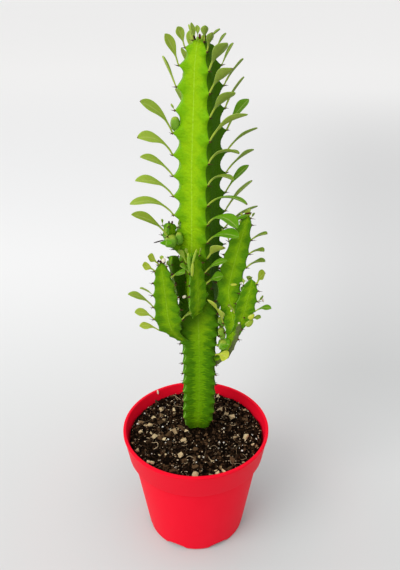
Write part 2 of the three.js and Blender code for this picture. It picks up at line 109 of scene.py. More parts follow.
def operation(kind: str) -> Callable[..., "Num"]:
    """Make a method that puts a value, and any others, through a Math node.

    Args:
        kind: The node's operation.

    Returns:
        The method.
    """

    def apply(value: "Num", *others: "Num | float") -> "Num":
        """Return the Math node's result."""
        made = value.tree.node("ShaderNodeMath", dict(enumerate((value, *others))), operation=kind)
        return Num(value.tree, made.outputs[0])

    return apply


class Num:
    """A number that varies over a surface: a shader socket with arithmetic."""

    __add__ = __radd__ = operation("ADD")
    __sub__ = operation("SUBTRACT")
    __mul__ = __rmul__ = operation("MULTIPLY")
    __truediv__ = operation("DIVIDE")
    __pow__ = operation("POWER")
    least = operation("MINIMUM")
    part = operation("FRACT")
    size = operation("ABSOLUTE")
    wave = operation("SINE")

    def __init__(self, tree: "Tree", socket: Socket) -> None:
        """Wrap a socket of the tree."""
        self.tree = tree
        self.socket = socket

    def __rsub__(self, other: float) -> "Num":
        """Take this value from a number."""
        return self * -1.0 + other

    def between(self, low: float, high: float) -> "Num":
        """Return a value that runs from low to high as this one runs from 0 to 1."""
        return self * (high - low) + low

    def swing(self, width: "Num | float") -> "Num":
        """Return a value that runs over a width, half below zero, as this one runs from 0 to 1."""
        return (self - 0.5) * width

    def ease(self, low: float, high: float, most: float = 1.0) -> "Num":
        """Take a soft step up from 0.

        Args:
            low: Where the step starts.
            high: Where the step ends. It may be below low, which turns the step round.
            most: The value past the step.

        Returns:
            The eased value.
        """
        inputs = {"Value": self, "From Min": low, "From Max": high, "To Max": most}
        made = self.tree.node("ShaderNodeMapRange", inputs, interpolation_type="SMOOTHSTEP")
        return Num(self.tree, made.outputs["Result"])


class Tree:
    """The nodes of a material or of the surroundings, made and linked by one method."""

    CLOUD_ROUGHNESS = 0.55

    def __init__(self, owner: Material | bpy.types.World) -> None:
        """Empty the owner's tree.

        Args:
            owner: The material or the surroundings.
        """
        owner.use_nodes = True
        self.owner = owner
        self.nodes = owner.node_tree.nodes
        self.links = owner.node_tree.links
        self.nodes.clear()

    def node(self, kind: str, inputs: dict | None = None, **settings: object) -> bpy.types.Node:
        """Make a node.

        Args:
            kind: The node's type.
            inputs: Values or links by socket name or number.
            settings: The node's own settings, which are set first.

        Returns:
            The node.
        """
        made = self.nodes.new(kind)
        for name, value in settings.items():
            setattr(made, name, value)
        for name, value in (inputs or {}).items():
            socket = made.inputs[name]
            if isinstance(value, (Num, Socket)):
                self.links.new(value.socket if isinstance(value, Num) else value, socket)
            else:
                socket.default_value = (*value, 1.0) if socket.type == "RGBA" else value
        return made

    def place(self) -> Socket:
        """Return the object coordinates, in metres."""
        return self.node("ShaderNodeTexCoord").outputs["Object"]

    def parts(self, place: Socket) -> tuple[Num, Num]:
        """Return the first two coordinates of a place."""
        made = self.node("ShaderNodeSeparateXYZ", {"Vector": place})
        return Num(self, made.outputs["X"]), Num(self, made.outputs["Y"])

    def flat(self) -> tuple[Num, Num]:
        """Return the two coordinates of the piece's own UV map."""
        return self.parts(self.node("ShaderNodeUVMap", uv_map="UVMap").outputs["UV"])

    def value(self, name: str) -> Num:
        """Return a named value that the piece's mesh holds."""
        return Num(self, self.node("ShaderNodeAttribute", attribute_name=name).outputs["Fac"])

    def cloud(self, scale: float, detail: float, across: Num | None = None, down: Num | None = None) -> Num:
        """Return soft noise from 0 to 1.

        Args:
            scale: Lumps per metre, or per unit of the values given.
            detail: How many finer layers it has.
            across: The first of two values to read it at, in place of object coordinates.
            down: The second.

        Returns:
            The noise.
        """
        where = self.place()
        if across is not None:
            where = self.node("ShaderNodeCombineXYZ", {"X": across, "Y": down}).outputs["Vector"]
        inputs = {"Vector": where, "Scale": scale, "Detail": detail, "Roughness": self.CLOUD_ROUGHNESS}
        return Num(self, self.node("ShaderNodeTexNoise", inputs).outputs["Fac"])

    def blend(self, part: Num | float, first: object, second: object) -> Socket:
        """Mix two colours.

        Args:
            part: 0 for the first colour and 1 for the second.
            first: A colour or a colour socket.
            second: A colour or a colour socket.

        Returns:
            The mixed colour.
        """
        return self.node("ShaderNodeMix", {0: part, 6: first, 7: second}, data_type="RGBA").outputs[2]

    def coats(self, colour: object, *coats: tuple[Num, object]) -> Socket:
        """Lay coats of other colours over a colour.

        Args:
            colour: The colour below.
            coats: How far each coat covers what is under it, from 0 to 1, and its colour.

        Returns:
            The colour on top.
        """
        for part, coat in coats:
            colour = self.blend(part, colour, coat)
        return colour

    def bump(self, *layers: tuple[Num, float]) -> Socket:
        """Return a normal raised by layers of height.

        Args:
            layers: Each layer's height, from 0 to 1, and how far 1 stands up, in metres.

        Returns:
            The normal.
        """
        below = {}
        for height, depth in layers:
            inputs = {"Height": height, "Distance": depth, "Strength": 1.0, **below}
            below = {"Normal": self.node("ShaderNodeBump", inputs).outputs["Normal"]}
        return below["Normal"]

    def finish(self, soft: Soft | tuple[()] = (), **sockets: object) -> Material:
        """Close the tree with its shader.

        Args:
            soft: The weight, reach in metres and colour shares of the light that passes under the surface.
            sockets: Values or links for the shader's sockets, with _ for a space in a name.

        Returns:
            The material.
        """
        inputs = {name.replace("_", " "): value for name, value in sockets.items()}
        inputs |= zip(("Subsurface Weight", "Subsurface Scale", "Subsurface Radius"), soft)
        shader = self.node("ShaderNodeBsdfPrincipled", inputs)
        self.node("ShaderNodeOutputMaterial", {"Surface": shader.outputs[0]})
        return self.owner


# Finishes


@dataclass(frozen=True)
class PlasticFinish:
    """The pot's moulded red plastic, a little dusty."""

    name: str = "red_plastic"
    colour: Colour = (0.89, 0.004, 0.023)
    worn: Colour = (0.92, 0.008, 0.029)
    dust: Range = (60.0, 4.0)
    dusty: Step = (0.35, 0.75, 0.5)
    grain: Range = (900.0, 2.0)
    grain_depth: float = 0.00004
    roughness: Range = (0.42, 0.54)
    shine: float = 0.045
    soft: Soft = (0.05, 0.002, (1.0, 0.15, 0.1))

    def material(self) -> Material:
        """Build the material.

        Returns:
            The material.
        """
        tree = Tree(bpy.data.materials.new(self.name))
        dust = tree.cloud(*self.dust)
        return tree.finish(
            self.soft,
            Base_Color=tree.blend(dust.ease(*self.dusty), self.colour, self.worn),
            Roughness=dust.between(*self.roughness),
            Normal=tree.bump((tree.cloud(*self.grain), self.grain_depth)),
            Specular_IOR_Level=self.shine,
        )


@dataclass(frozen=True)
class SkinFinish:
    """A stem's green skin: a pale feathered band down each face, a faint valley line, darker ribs and a
    pale line along each rib's edge that is partly a painted highlight, with painted shade laid over the
    skin turned from the light or hidden among the shoots.

    The band is broad down to the first row of its change, and narrow and jagged past the last, where the
    skin is old. Widths run from 0 at a face's middle to 0.5 at its ribs. Where an amount is a pair, its
    first is for young skin and its second for old.
    """

    name: str
    pale: Colour
    deep: Colour
    old_pale: Colour = (0.155, 0.365, 0.002)
    old_deep: Colour = (0.055, 0.185, 0.002)
    line: Colour = (0.40, 0.64, 0.05)
    # The rib-edge line is partly the rib's own pale margin and partly a painted highlight.
    edge: Colour = (0.42, 0.64, 0.13)
    # Painted shade: the colour laid where the mesh's shade value marks skin turned from the light or hidden
    # among the shoots.
    shaded: Colour = (0.045, 0.125, 0.002)
    cork: Colour = (0.125, 0.155, 0.050)
    change: Range = (15.0, 20.0)
    deepening: Range = (3.0, 20.0)
    band: Range = (0.31, 0.23)
    border: Range = (-0.10, 0.07)
    crispness: Range = (0.5, 1.0)
    toothed: Range = (0.075, 0.035)
    tooth_start: float = 0.25
    feather: Stretch = (3.0, 3.0, 2.0, 1.5)
    feathered: float = 0.30
    streak: Stretch = (4.0, 4.0, 1.3, 2.6)
    streaked: Range = (0.10, 0.85)
    mottle: Range = (230.0, 4.0)
    mottled: float = 0.06
    lit: Step = (0.45, 0.75, 0.3)
    line_width: Range = (0.035, 0.004)
    line_broken: Range = (0.25, 0.6)
    line_most: Range = (0.55, 0.15)
    edge_width: Range = (0.482, 0.497)
    edge_broken: Step = (0.3, 0.55, 0.75)
    shade_patchy: float = 0.7
    cork_patchy: float = 0.9
    cork_step: Range = (0.35, 0.65)
    light: Range = (34.0, 2.0)
    grain: Range = (1400.0, 2.0)
    depths: Step = (0.0012, 0.0004, 0.00005)
    roughness: float = 0.39
    dulled: Step = (0.14, 0.3, 0.35)
    shine: float = 0.045
    soft: Soft = (0.08, 0.002, (0.5, 1.0, 0.1))

    def material(self) -> Material:
        """Build the material.

        Returns:
            The material.
        """
        tree = Tree(bpy.data.materials.new(self.name))
        across, down = tree.flat()
        off = (across.part() - 0.5).size()
        old = down.ease(*self.change)
        mottle, light = tree.cloud(*self.mottle), tree.cloud(*self.light)
        feather, streak = (
            tree.cloud(scale, detail, across * wide, down * long)
            for scale, detail, wide, long in (self.feather, self.streak)
        )
        tooth = ((down + self.tooth_start) * math.tau).wave() * old.between(*self.toothed)
        jag = feather.swing(self.feathered) + streak.swing(old.between(*self.streaked))
        reach = off + jag + mottle.swing(self.mottled) + tooth - old.between(*self.band)
        pale = tree.blend(old, self.pale, self.old_pale)
        deep = tree.blend(down.ease(*self.deepening), self.deep, self.old_deep)
        line = off.ease(*self.line_width) * feather.ease(*self.line_broken) * old.between(*self.line_most)
        # A pale line along each rib's edge, partly the rib's own margin and partly a painted highlight.
        edge = off.ease(*self.edge_width) * feather.ease(*self.edge_broken)
        # Painted shade from the mesh's shade value, broken into patches by noise.
        shade_cover = tree.value("shade") * (light.swing(self.shade_patchy) + 1.0)
        cork = tree.value("cork")
        dulled = zip((mottle, cork, shade_cover), self.dulled)
        colour = tree.coats(
            tree.blend((reach * old.between(*self.crispness)).ease(*self.border), pale, deep),
            (light.ease(*self.lit), pale),
            (line, self.line),
            (edge, self.edge),
            (shade_cover.ease(0.0, 1.0), self.shaded),
            ((cork + mottle.swing(self.cork_patchy)).ease(*self.cork_step), self.cork),
        )
        return tree.finish(
            self.soft,
            Base_Color=colour,
            Roughness=sum((part * most for part, most in dulled), self.roughness),
            Normal=tree.bump(*zip((feather, mottle, tree.cloud(*self.grain)), self.depths)),
            Specular_IOR_Level=self.shine,
        )


@dataclass(frozen=True)
class LeafFinish:
    """A leaf's skin, from deep green to yellow with its age, with a pale rim and midrib. Its tone runs from
    dark to fresh green and is lowered as painted shade on leaves that face away from the light.

    Lengths run from 0 at the leaf's foot to 1 at its tip.
    """

    name: str = "leaf_skin"
    fresh: Colour = (0.30, 0.41, 0.050)
    dark: Colour = (0.115, 0.195, 0.010)
    lush: Colour = (0.105, 0.30, 0.003)
    old: Colour = (0.54, 0.59, 0.055)
    stalk: Colour = (0.38, 0.46, 0.05)
    rim: Colour = (0.50, 0.58, 0.18)
    brown: Colour = (0.16, 0.10, 0.03)
    mottle: Range = (330.0, 3.0)
    mottle_depth: float = 0.0002
    mottled: float = 0.4
    under: Step = (0.1, -0.3, 0.12)
    rim_width: Step = (0.42, 0.49, 0.55)
    midrib_width: Step = (0.05, 0.01, 0.35)
    stalk_end: Step = (0.34, 0.12, 0.8)
    upper: Range = (-0.2, 0.2)
    scorch_start: Range = (0.965, 0.995)
    scorch_uneven: float = 0.05
    roughness: Range = (0.38, 0.53)
    shine: float = 0.08
    soft: Soft = (0.22, 0.0015, (0.6, 1.0, 0.12))

    def material(self) -> Material:
        """Build the material.

        Returns:
            The material.
        """
        tree = Tree(bpy.data.materials.new(self.name))
        around, length = tree.flat()
        face = (around * math.tau).wave()
        mottle = tree.cloud(*self.mottle)
        side = (around * 2.0 - 0.5).part()
        rim = ((around * 2.0).part() - 0.5).size().ease(*self.rim_width)
        midrib = side.least(1.0 - side).ease(*self.midrib_width) * face.ease(*self.upper)
        reach = length + mottle.swing(self.scorch_uneven)
        scorch = reach.ease(*self.scorch_start) * tree.value("scorch")
        # The tone is partly random and partly painted shade, lowered on leaves that face away from the
        # light.
        tone = (tree.value("tone") + mottle.swing(self.mottled)).ease(0.0, 1.0)
        colour = tree.coats(
            tree.blend(tone, self.dark, self.fresh),
            (tree.value("lush"), self.lush),
            (face.ease(*self.under), self.rim),
            (tree.value("age"), self.old),
            (rim, self.rim),
            (midrib, self.rim),
            (length.ease(*self.stalk_end), self.stalk),
            (scorch, self.brown),
        )
        return tree.finish(
            self.soft,
            Base_Color=colour,
            Roughness=mottle.between(*self.roughness),
            Normal=tree.bump((mottle, self.mottle_depth)),
            Specular_IOR_Level=self.shine,
        )


@dataclass(frozen=True)
class DryFinish:
    """A dry, dull finish that runs between two colours by each piece's tone."""

    name: str
    low: Colour
    high: Colour
    roughness: float = 0.85
    grain: Range = (900.0, 4.0)
    grain_depth: float = 0.0005
    patchy: float = 0.7
    shine: float = 0.05

    def material(self) -> Material:
        """Build the material.

        Returns:
            The material.
        """
        tree = Tree(bpy.data.materials.new(self.name))
        grain = tree.cloud(*self.grain)
        part = tree.value("tone") + grain.swing(self.patchy)
        return tree.finish(
            Base_Color=tree.blend(part.ease(0.0, 1.0), self.low, self.high),
            Roughness=self.roughness,
            Normal=tree.bump((grain, self.grain_depth)),
            Specular_IOR_Level=self.shine,
        )


@dataclass(frozen=True)
class MixFinish:
    """The potting mix between the chips: near black, with brown crumbs."""

    name: str = "potting_mix"
    dark: Colour = (0.0035, 0.002, 0.0012)
    brown: Colour = (0.060, 0.030, 0.014)
    crumbs: Range = (420.0, 6.0)
    lumps: Range = (120.0, 3.0)
    depths: Range = (0.004, 0.002)
    crumbly: Step = (0.45, 0.72, 0.8)
    lumpy: Range = (0.3, 0.6)
    roughness: float = 0.95
    shine: float = 0.02

    def material(self) -> Material:
        """Build the material.

        Returns:
            The material.
        """
        tree = Tree(bpy.data.materials.new(self.name))
        crumbs, lumps = tree.cloud(*self.crumbs), tree.cloud(*self.lumps)
        part = crumbs.ease(*self.crumbly) * lumps.ease(*self.lumpy)
        return tree.finish(
            Base_Color=tree.blend(part, self.dark, self.brown),
            Roughness=self.roughness,
            Normal=tree.bump(*zip((lumps, crumbs), self.depths)),
            Specular_IOR_Level=self.shine,
        )


@dataclass(frozen=True)
class FloorFinish:
    """The pale floor, with painted light and shade: paler with distance, a painted shadow behind the pot to
    the right, and a cool tint round its foot that offsets the red light bounced from the pot.

    Distances are in metres from the pot's axis.
    """

    name: str = "studio_floor"
    # Painted light: the floor runs from darker near the pot to paler far off.
    near: Colour = (0.64, 0.645, 0.635)
    middle: Colour = (0.87, 0.86, 0.85)
    far: Colour = (0.99, 0.97, 0.95)
    # A painted shadow behind the pot to the right.
    painted_shadow: Colour = (0.20, 0.20, 0.195)
    # A painted cool tint round the pot's foot, offsetting the red light bounced from the pot.
    cool: Colour = (0.57, 0.665, 0.65)
    to_middle: Range = (-0.12, 0.6)
    to_far: Range = (0.7, 3.0)
    painted_shadow_from: float = 0.61
    painted_shadow_slope: Range = (0.0, 0.26)
    painted_shadow_start: Range = (0.04, 0.24)
    painted_shadow_end: Step = (2.4, 0.9, 0.24)
    cool_end: Range = (0.15, 0.04)
    roughness: float = 0.9
    shine: float = 0.1

    def material(self) -> Material:
        """Build the material.

        Returns:
            The material.
        """
        tree = Tree(bpy.data.materials.new(self.name))
        right, back = tree.parts(tree.place())
        # Painted shadow, behind the pot to the right.
        slope = (right / (back + self.painted_shadow_from)).ease(*self.painted_shadow_slope)
        beyond = slope * back.ease(*self.painted_shadow_start) * back.ease(*self.painted_shadow_end)
        colour = tree.coats(
            self.near,
            (back.ease(*self.to_middle), self.middle),
            (back.ease(*self.to_far), self.far),
            (beyond, self.painted_shadow),
            (((right * right + back * back) ** 0.5).ease(*self.cool_end), self.cool),
        )
        return tree.finish(Base_Color=colour, Roughness=self.roughness, Specular_IOR_Level=self.shine)


# Meshes


def even(count: int) -> list[float]:
    """Return the ends of equal parts of 1."""
    return [number / count for number in range(count + 1)]


def held(bm: Mesh, name: str) -> bmesh.types.BMLayerItem:
    """Return the layer of a named value that a mesh's corners hold."""
    layers = bm.verts.layers.float
    return layers.get(name) or layers.new(name)


def rolled(
    bm: Mesh,
    across: Sequence[float],
    down: Sequence[float],
    place: Callable[[int, int], Vector],
    **values: float | Callable[[int, int], float],
) -> None:
    """Roll a grid into a closed skin, whose first and last rows each meet in a point.

    Args:
        bm: The mesh that it is added to.
        across: The UV map's first coordinate at each column, the last of which meets the first.
        down: The UV map's second coordinate at each row.
        place: Gives the place of a column and row, in millimetres.
        values: Named values that the skin holds, each a number or a function of column and row.
    """
    columns, rows = len(across) - 1, len(down) - 1
    chart = bm.loops.layers.uv.get("UVMap") or bm.loops.layers.uv.new("UVMap")
    layers = {name: held(bm, name) for name in values}
    made = bmesh.ops.create_grid(bm, x_segments=columns, y_segments=rows, size=0.5)["verts"]
    corner = {vert: (round((vert.co.x + 0.5) * columns), round((vert.co.y + 0.5) * rows)) for vert in made}
    for face in {face for vert in made for face in vert.link_faces}:
        for loop in face.loops:
            column, row = corner[loop.vert]
            loop[chart].uv = across[column], down[row]
    for vert in made:
        column, row = corner[vert]
        column %= columns
        for name, value in values.items():
            vert[layers[name]] = value(column, row) if callable(value) else value
        vert.co = place(column, row) * MM
    bmesh.ops.remove_doubles(bm, verts=made, dist=MERGE)


def bit(
    bm: Mesh, where: Matrix, tone: float, kind: Callable[..., dict], **shape: float | int
) -> list[bmesh.types.BMVert]:
    """Add one small loose solid of a single tone.

    Args:
        bm: The mesh that it is added to.
        where: Its place, turn and size, in metres.
        tone: How pale it is, from 0 to 1.
        kind: The bmesh operator that makes it.
        shape: The operator's own settings.

    Returns:
        Its vertices.
    """
    layer = held(bm, "tone")
    made = kind(bm, matrix=where, **shape)["verts"]
    for vert in made:
        vert[layer] = tone
    return made


def shown(name: str, data: bpy.types.ID) -> bpy.types.Object:
    """Return a new object in the scene.

    Args:
        name: Its name.
        data: Its mesh, light or lens.

    Returns:
        The object.
    """
    made = bpy.data.objects.new(name, data)
    bpy.context.scene.collection.objects.link(made)
    return made


def meshed(name: str, bm: Mesh) -> bpy.types.Object:
    """Return a new object of a mesh, which is used up.

    Args:
        name: Its name.
        bm: The mesh.

    Returns:
        The object.
    """
    mesh = bpy.data.meshes.new(name)
    bm.to_mesh(mesh)
    bm.free()
    return shown(name, mesh)


def piece(
    bm: Mesh, name: str, node: str, finish: Material, smooth: bool = True
) -> bpy.types.Object:
    """Close a mesh as a finished piece that stands for a node.

    Args:
        bm: The mesh, which is used up.
        name: The piece's name.
        node: The node that it stands for.
        finish: Its material.
        smooth: Whether it is shaded smooth.

    Returns:
        The piece.
    """
    bmesh.ops.recalc_face_normals(bm, faces=bm.faces)
    made = meshed(name, bm)
    if smooth:
        made.data.shade_smooth()
    made.data.materials.append(finish)
    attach(made, "root")
    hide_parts(node)
    log.info("%s: %d faces", name, len(made.data.polygons))
    return made


def turned(heading: Vector) -> Matrix:
    """Return the turn that points +Z along a heading."""
    return UP.rotation_difference(heading).to_matrix().to_4x4()


# Pot and potting mix


@dataclass
class Pot:
    """The thin-walled nursery pot: a turned wall with a collar, and a raised floor in a notched foot."""

    height: float = 100.0
    rim: float = 60.0
    collar_height: float = 22.6
    collar_foot: float = 56.2
    body_top: float = 53.0
    foot: float = 41.5
    wall: float = 1.6
    wall_rings: Sequence[float] = (4.2, 5.4, 14.0, 34.0, 56.0, 75.9)
    lip: float = 2.4
    lip_drop: float = 2.2
    lip_out: float = 0.5
    foot_round: float = 1.6
    floor: float = 4.0
    foot_width: float = 4.0
    foot_margin: float = 1.0
    notches: int = 7
    notch_height: float = 3.3
    notch_turn: float = 23.0
    notch_first: float = -114.0
    notch_band: float = 4.2
    drain: float = 3.5
    drain_circle: float = 30.0
    drain_cut: float = 6.4
    drain_sides: int = 24
    edge: float = 0.35
    sharp: float = 30.0
    crease: float = 40.0
    steps: int = 192
    finish: PlasticFinish = PlasticFinish()

    def profile(self) -> list[Range]:
        """Work out the wall's section, from the floor's underside round to its top.

        Returns:
            The radius and height of each of its corners.
        """
        step, under_lip = self.height - self.collar_height, self.height - self.lip_drop
        inner = self.foot - self.foot_width
        slope = (self.body_top - self.foot) / (step - self.foot_round)
        return [
            (0.0, self.floor),
            (inner, self.floor),
            (inner, 0.0),
            (self.foot - self.foot_round, 0.0),
            (self.foot, self.foot_round),
            *((self.foot + slope * (height - self.foot_round), height) for height in self.wall_rings),
            (self.body_top, step),
            (self.collar_foot, step),
            (self.rim - self.lip_out, under_lip),
            (self.rim, under_lip),
            (self.rim, self.height),
            (self.rim - self.lip, self.height),
            (self.collar_foot - self.wall, step + self.wall),
            (self.body_top - self.wall, step),
            (self.foot - self.wall, self.floor + self.wall),
            (0.0, self.floor + self.wall),
        ]

    def notch(self, vert: bmesh.types.BMVert) -> None:
        """Raise a vertex of the foot where it lies in a notch.

        Args:
            vert: The vertex.
        """
        high = vert.co.z / MM
        inner = self.foot - self.foot_width - self.foot_margin
        if high > self.notch_band or vert.co.xy.length / MM < inner:
            return
        turn = math.degrees(math.atan2(vert.co.y, vert.co.x)) - self.notch_first
        apart = 360.0 / self.notches
        off = abs((turn + apart / 2.0) % apart - apart / 2.0) / (self.notch_turn / 2.0)
        if off < 1.0:
            rise = self.notch_height * math.sqrt(1.0 - off * off)
            vert.co.z = (rise + high * (1.0 - rise / self.notch_band)) * MM

    def build(self) -> bpy.types.Object:
        """Turn the wall, round its edges, notch its foot and cut its drain holes.

        Returns:
            The pot.
        """
        bm = bmesh.new()
        verts = [bm.verts.new((radius * MM, 0.0, height * MM)) for radius, height in self.profile()]
        geom = verts + [bm.edges.new(pair) for pair in zip(verts, verts[1:])]
        bmesh.ops.spin(
            bm, geom=geom, cent=(0, 0, 0), axis=(0, 0, 1), angle=math.tau, steps=self.steps, use_merge=True
        )
        bmesh.ops.remove_doubles(bm, verts=bm.verts, dist=MERGE)
        bend = math.radians(self.sharp)
        geom = [edge for edge in bm.edges if edge.is_manifold and edge.calc_face_angle() > bend]
        bmesh.ops.bevel(
            bm, geom=geom, offset=self.edge * MM, segments=2, affect="EDGES", profile=0.5, material=-1
        )
        for vert in bm.verts:
            self.notch(vert)
        made = piece(bm, "nursery_pot", "pot", self.finish.material())
        self.pierce(made)
        made.data.set_sharp_from_angle(angle=math.radians(self.crease))
        return made

    def pierce(self, made: bpy.types.Object) -> None:
        """Cut the drain holes through the floor.

        Args:
            made: The pot.
        """
        bm = bmesh.new()
        hole = {"radius1": self.drain * MM, "radius2": self.drain * MM, "depth": self.drain_cut * MM}
        for number in range(self.notches):
            turn = math.radians(self.notch_first + 360.0 * number / self.notches)
            where = Matrix.Translation((round_at(1.0, turn) * self.drain_circle + UP * self.floor) * MM)
            bmesh.ops.create_cone(bm, cap_ends=True, segments=self.drain_sides, matrix=where, **hole)
        cutter = meshed("drains", bm)
        change = made.modifiers.new("drains", "BOOLEAN")
        change.object, change.operation, change.solver = cutter, "DIFFERENCE", "EXACT"
        seen = made.evaluated_get(bpy.context.evaluated_depsgraph_get())
        holed = bpy.data.meshes.new_from_object(seen)
        made.modifiers.clear()
        made.data = holed
        bpy.data.objects.remove(cutter)


@dataclass(frozen=True)
class Scatter:
    """One kind of loose bit on the mix: how many, how big, how long and flat, and how dark to how pale."""

    count: int
    sizes: Range
    long: float
    flat: float
    tones: Range
    dark: Colour
    pale: Colour
    boxy: bool = False


class Loose(Enum):
    """The kinds of loose bits."""

    BARK = Scatter(150, (0.8, 2.4), 1.7, 0.6, (0, 0.7), (0.012, 0.006, 0.003), (0.17, 0.095, 0.045), True)
    CHIP = Scatter(64, (0.9, 2.8), 1.5, 0.6, (0.2, 1), (0.16, 0.09, 0.04), (0.68, 0.52, 0.29), True)
    CRUMB = Scatter(1400, (0.4, 1.3), 1.3, 0.8, (0, 0.7), (0.004, 0.002, 0.0015), (0.11, 0.055, 0.025))
    GRIT = Scatter(620, (0.25, 0.8), 1.5, 0.7, (0, 1), (0.14, 0.08, 0.04), (0.66, 0.52, 0.34))
    PERLITE = Scatter(70, (0.3, 0.9), 1.3, 0.8, (0.2, 1), (0.50, 0.43, 0.33), (0.86, 0.82, 0.74))


@dataclass
class Mix:
    """The potting mix: a low uneven mound with bark, crumbs, grit, perlite and rootlets on it."""

    height: float = 91.5
    mound: float = 3.0
    wave: float = 0.8
    lumps: Sequence[Place] = ((3.0, 5.5, 1.2), (9.0, 2.2, 1.1))
    rim: float = 60.0
    edge: float = 54.6
    below: Stops = ((54.6, 80.4), (53.6, 79.4), (50.6, 77.4), (39.4, 6.2), (0.0, 6.0))
    columns: int = 220
    rings: int = 74
    ring_spread: float = 0.8
    stem: Vector = field(default_factory=lambda: Vector((1.1, 9.0, 0.0)))
    stem_radius: float = 10.5
    rootlets: int = 24
    thread: DryFinish = DryFinish("rootlet", (0.10, 0.06, 0.03), (0.46, 0.34, 0.20))
    seed: int = 9

    MOSTLY_SMALL = 1.6
    CLEAR = 0.7
    RAISED = 0.18
    NARROWER = (0.6, 1.0)
    FLATTER = 0.7
    TILTS = (0.4, 0.3)
    ROUGH = 0.22
    THREAD_STEPS = 12
    THREAD_SIDES = 5
    THREAD_MARGIN = 8.0
    THREAD_LENGTHS = (5.0, 15.0)
    THREAD_RADII = (0.14, 0.34)
    THREAD_LIFT = 0.35
    THREAD_ARCH = 0.5
    THREAD_BEND = 0.16
    THREAD_WANDER = 0.10
    THREAD_TONES = (0.2, 1.0)

    def __post_init__(self) -> None:
        """Start the draws."""
        self.rng = random.Random(self.seed)

    def lumpy(self, x: float, y: float) -> float:
        """Return the height of the mix's top.

        Args:
            x: The place across.
            y: The place back.

        Returns:
            The height, with its mound, its waves and its lumps.
        """
        out = math.hypot(x, y) / self.rim
        waves = math.sin(0.13 * x + 0.7) * math.cos(0.11 * y - 0.4) + 0.5 * math.sin(0.31 * x - 0.23 * y)
        lumps = sum(noise.noise(Vector((x, y, level)) / wide) * high for level, wide, high in self.lumps)
        return self.height + self.mound * (1.0 - out * out) + self.wave * waves + lumps

    def place(self, column: int, row: int) -> Vector:
        """Return a place on the mix's skin.

        Args:
            column: The column round it.
            row: The ring, from the middle of the top out and down to the middle below.

        Returns:
            The place.
        """
        turn = math.tau * column / self.columns
        if row > self.rings:
            radius, height = self.below[row - self.rings - 1]
            return round_at(radius, turn, height)
        radius = self.edge * (row / self.rings) ** self.ring_spread
        x, y = radius * math.cos(turn), radius * math.sin(turn)
        return Vector((x, y, self.lumpy(x, y)))

    def spot(self, margin: float) -> Vector:
        """Draw a place on the open top.

        Args:
            margin: How far it is kept from the stem and the wall.

        Returns:
            The place.
        """
        while True:
            radius = (self.edge - margin) * math.sqrt(self.rng.random())
            found = round_at(radius, self.rng.uniform(0.0, math.tau))
            if (found - self.stem).length > self.stem_radius + margin:
                found.z = self.lumpy(found.x, found.y)
                return found

    def scattered(self, habit: Scatter) -> Mesh:
        """Scatter the bits of one kind.

        Args:
            habit: The kind of bit.

        Returns:
            Their mesh.
        """
        bm, rng = bmesh.new(), self.rng
        solid = {"kind": bmesh.ops.create_icosphere, "subdivisions": 1, "radius": 1.0}
        if habit.boxy:
            solid = {"kind": bmesh.ops.create_cube, "size": 1.5}
        least, most = habit.sizes
        for _ in range(habit.count):
            size = least + (most - least) * rng.random() ** self.MOSTLY_SMALL
            where = Matrix.Translation((self.spot(size * self.CLEAR) + UP * size * self.RAISED) * MM)
            tilts = [Matrix.Rotation(rng.gauss(0.0, tilt), 4, axis) for tilt, axis in zip(self.TILTS, "XY")]
            turn = Matrix.Rotation(rng.uniform(0.0, math.tau), 4, "Z")
            long = size * rng.uniform(1.0, habit.long)
            flat = size * rng.uniform(habit.flat * self.FLATTER, habit.flat)
            wide = size * rng.uniform(*self.NARROWER)
            shape = Matrix.Diagonal((long * MM, wide * MM, flat * MM, 1.0))
            tone = rng.uniform(*habit.tones)
            for vert in bit(bm, where @ turn @ (tilts[0] @ tilts[1]) @ shape, tone, **solid):
                step = Vector((rng.gauss(0, 1), rng.gauss(0, 1), rng.gauss(0, 1)))
                vert.co += step * size * self.ROUGH * MM
        return bm

    def threads(self) -> Mesh:
        """Lay the rootlets and fibres on the top.

        Returns:
            Their mesh.
        """
        bm, rng = bmesh.new(), self.rng
        steps, sides = self.THREAD_STEPS, self.THREAD_SIDES
        for _ in range(self.rootlets):
            line = [self.spot(self.THREAD_MARGIN)]
            turn, bend = rng.uniform(0, math.tau), rng.gauss(0.0, self.THREAD_BEND)
            long = rng.uniform(*self.THREAD_LENGTHS)
            for step in range(steps):
                turn += bend + rng.gauss(0.0, self.THREAD_WANDER)
                ahead = line[-1] + round_at(1.0, turn) * long / steps
                arch = self.THREAD_ARCH * math.sin(math.pi * step / steps)
                ahead.z = self.lumpy(ahead.x, ahead.y) + self.THREAD_LIFT + arch
                line.append(ahead)
            thick = rng.uniform(*self.THREAD_RADII)

            def place(column: int, row: int) -> Vector:
                """Find a place on a thread's skin.

                Args:
                    column: The column round it.
                    row: The row along it.

                Returns:
                    The place.
                """
                if row in (0, steps):
                    return line[row]
                rise = (line[row + 1] - line[row - 1]).normalized()
                across = rise.cross(UP).normalized()
                angle = math.tau * column / sides
                return line[row] + (across * math.cos(angle) + across.cross(rise) * math.sin(angle)) * thick

            rolled(bm, even(sides), even(steps), place, tone=rng.uniform(*self.THREAD_TONES))
        return bm

    def build(self) -> None:
        """Build the mix and what lies on it."""
        bm = bmesh.new()
        rolled(bm, even(self.columns), even(self.rings + len(self.below)), self.place)
        piece(bm, "potting_mix", "soil", MixFinish().material())
        for kind in Loose:
            name, habit = kind.name.lower(), kind.value
            finish = DryFinish(name, habit.dark, habit.pale).material()
            bm = self.scattered(habit)
            piece(bm, f"mix_{name}", "soil", finish, smooth=kind is Loose.CRUMB)
        piece(self.threads(), "mix_rootlets", "soil", self.thread.material())


# Stems


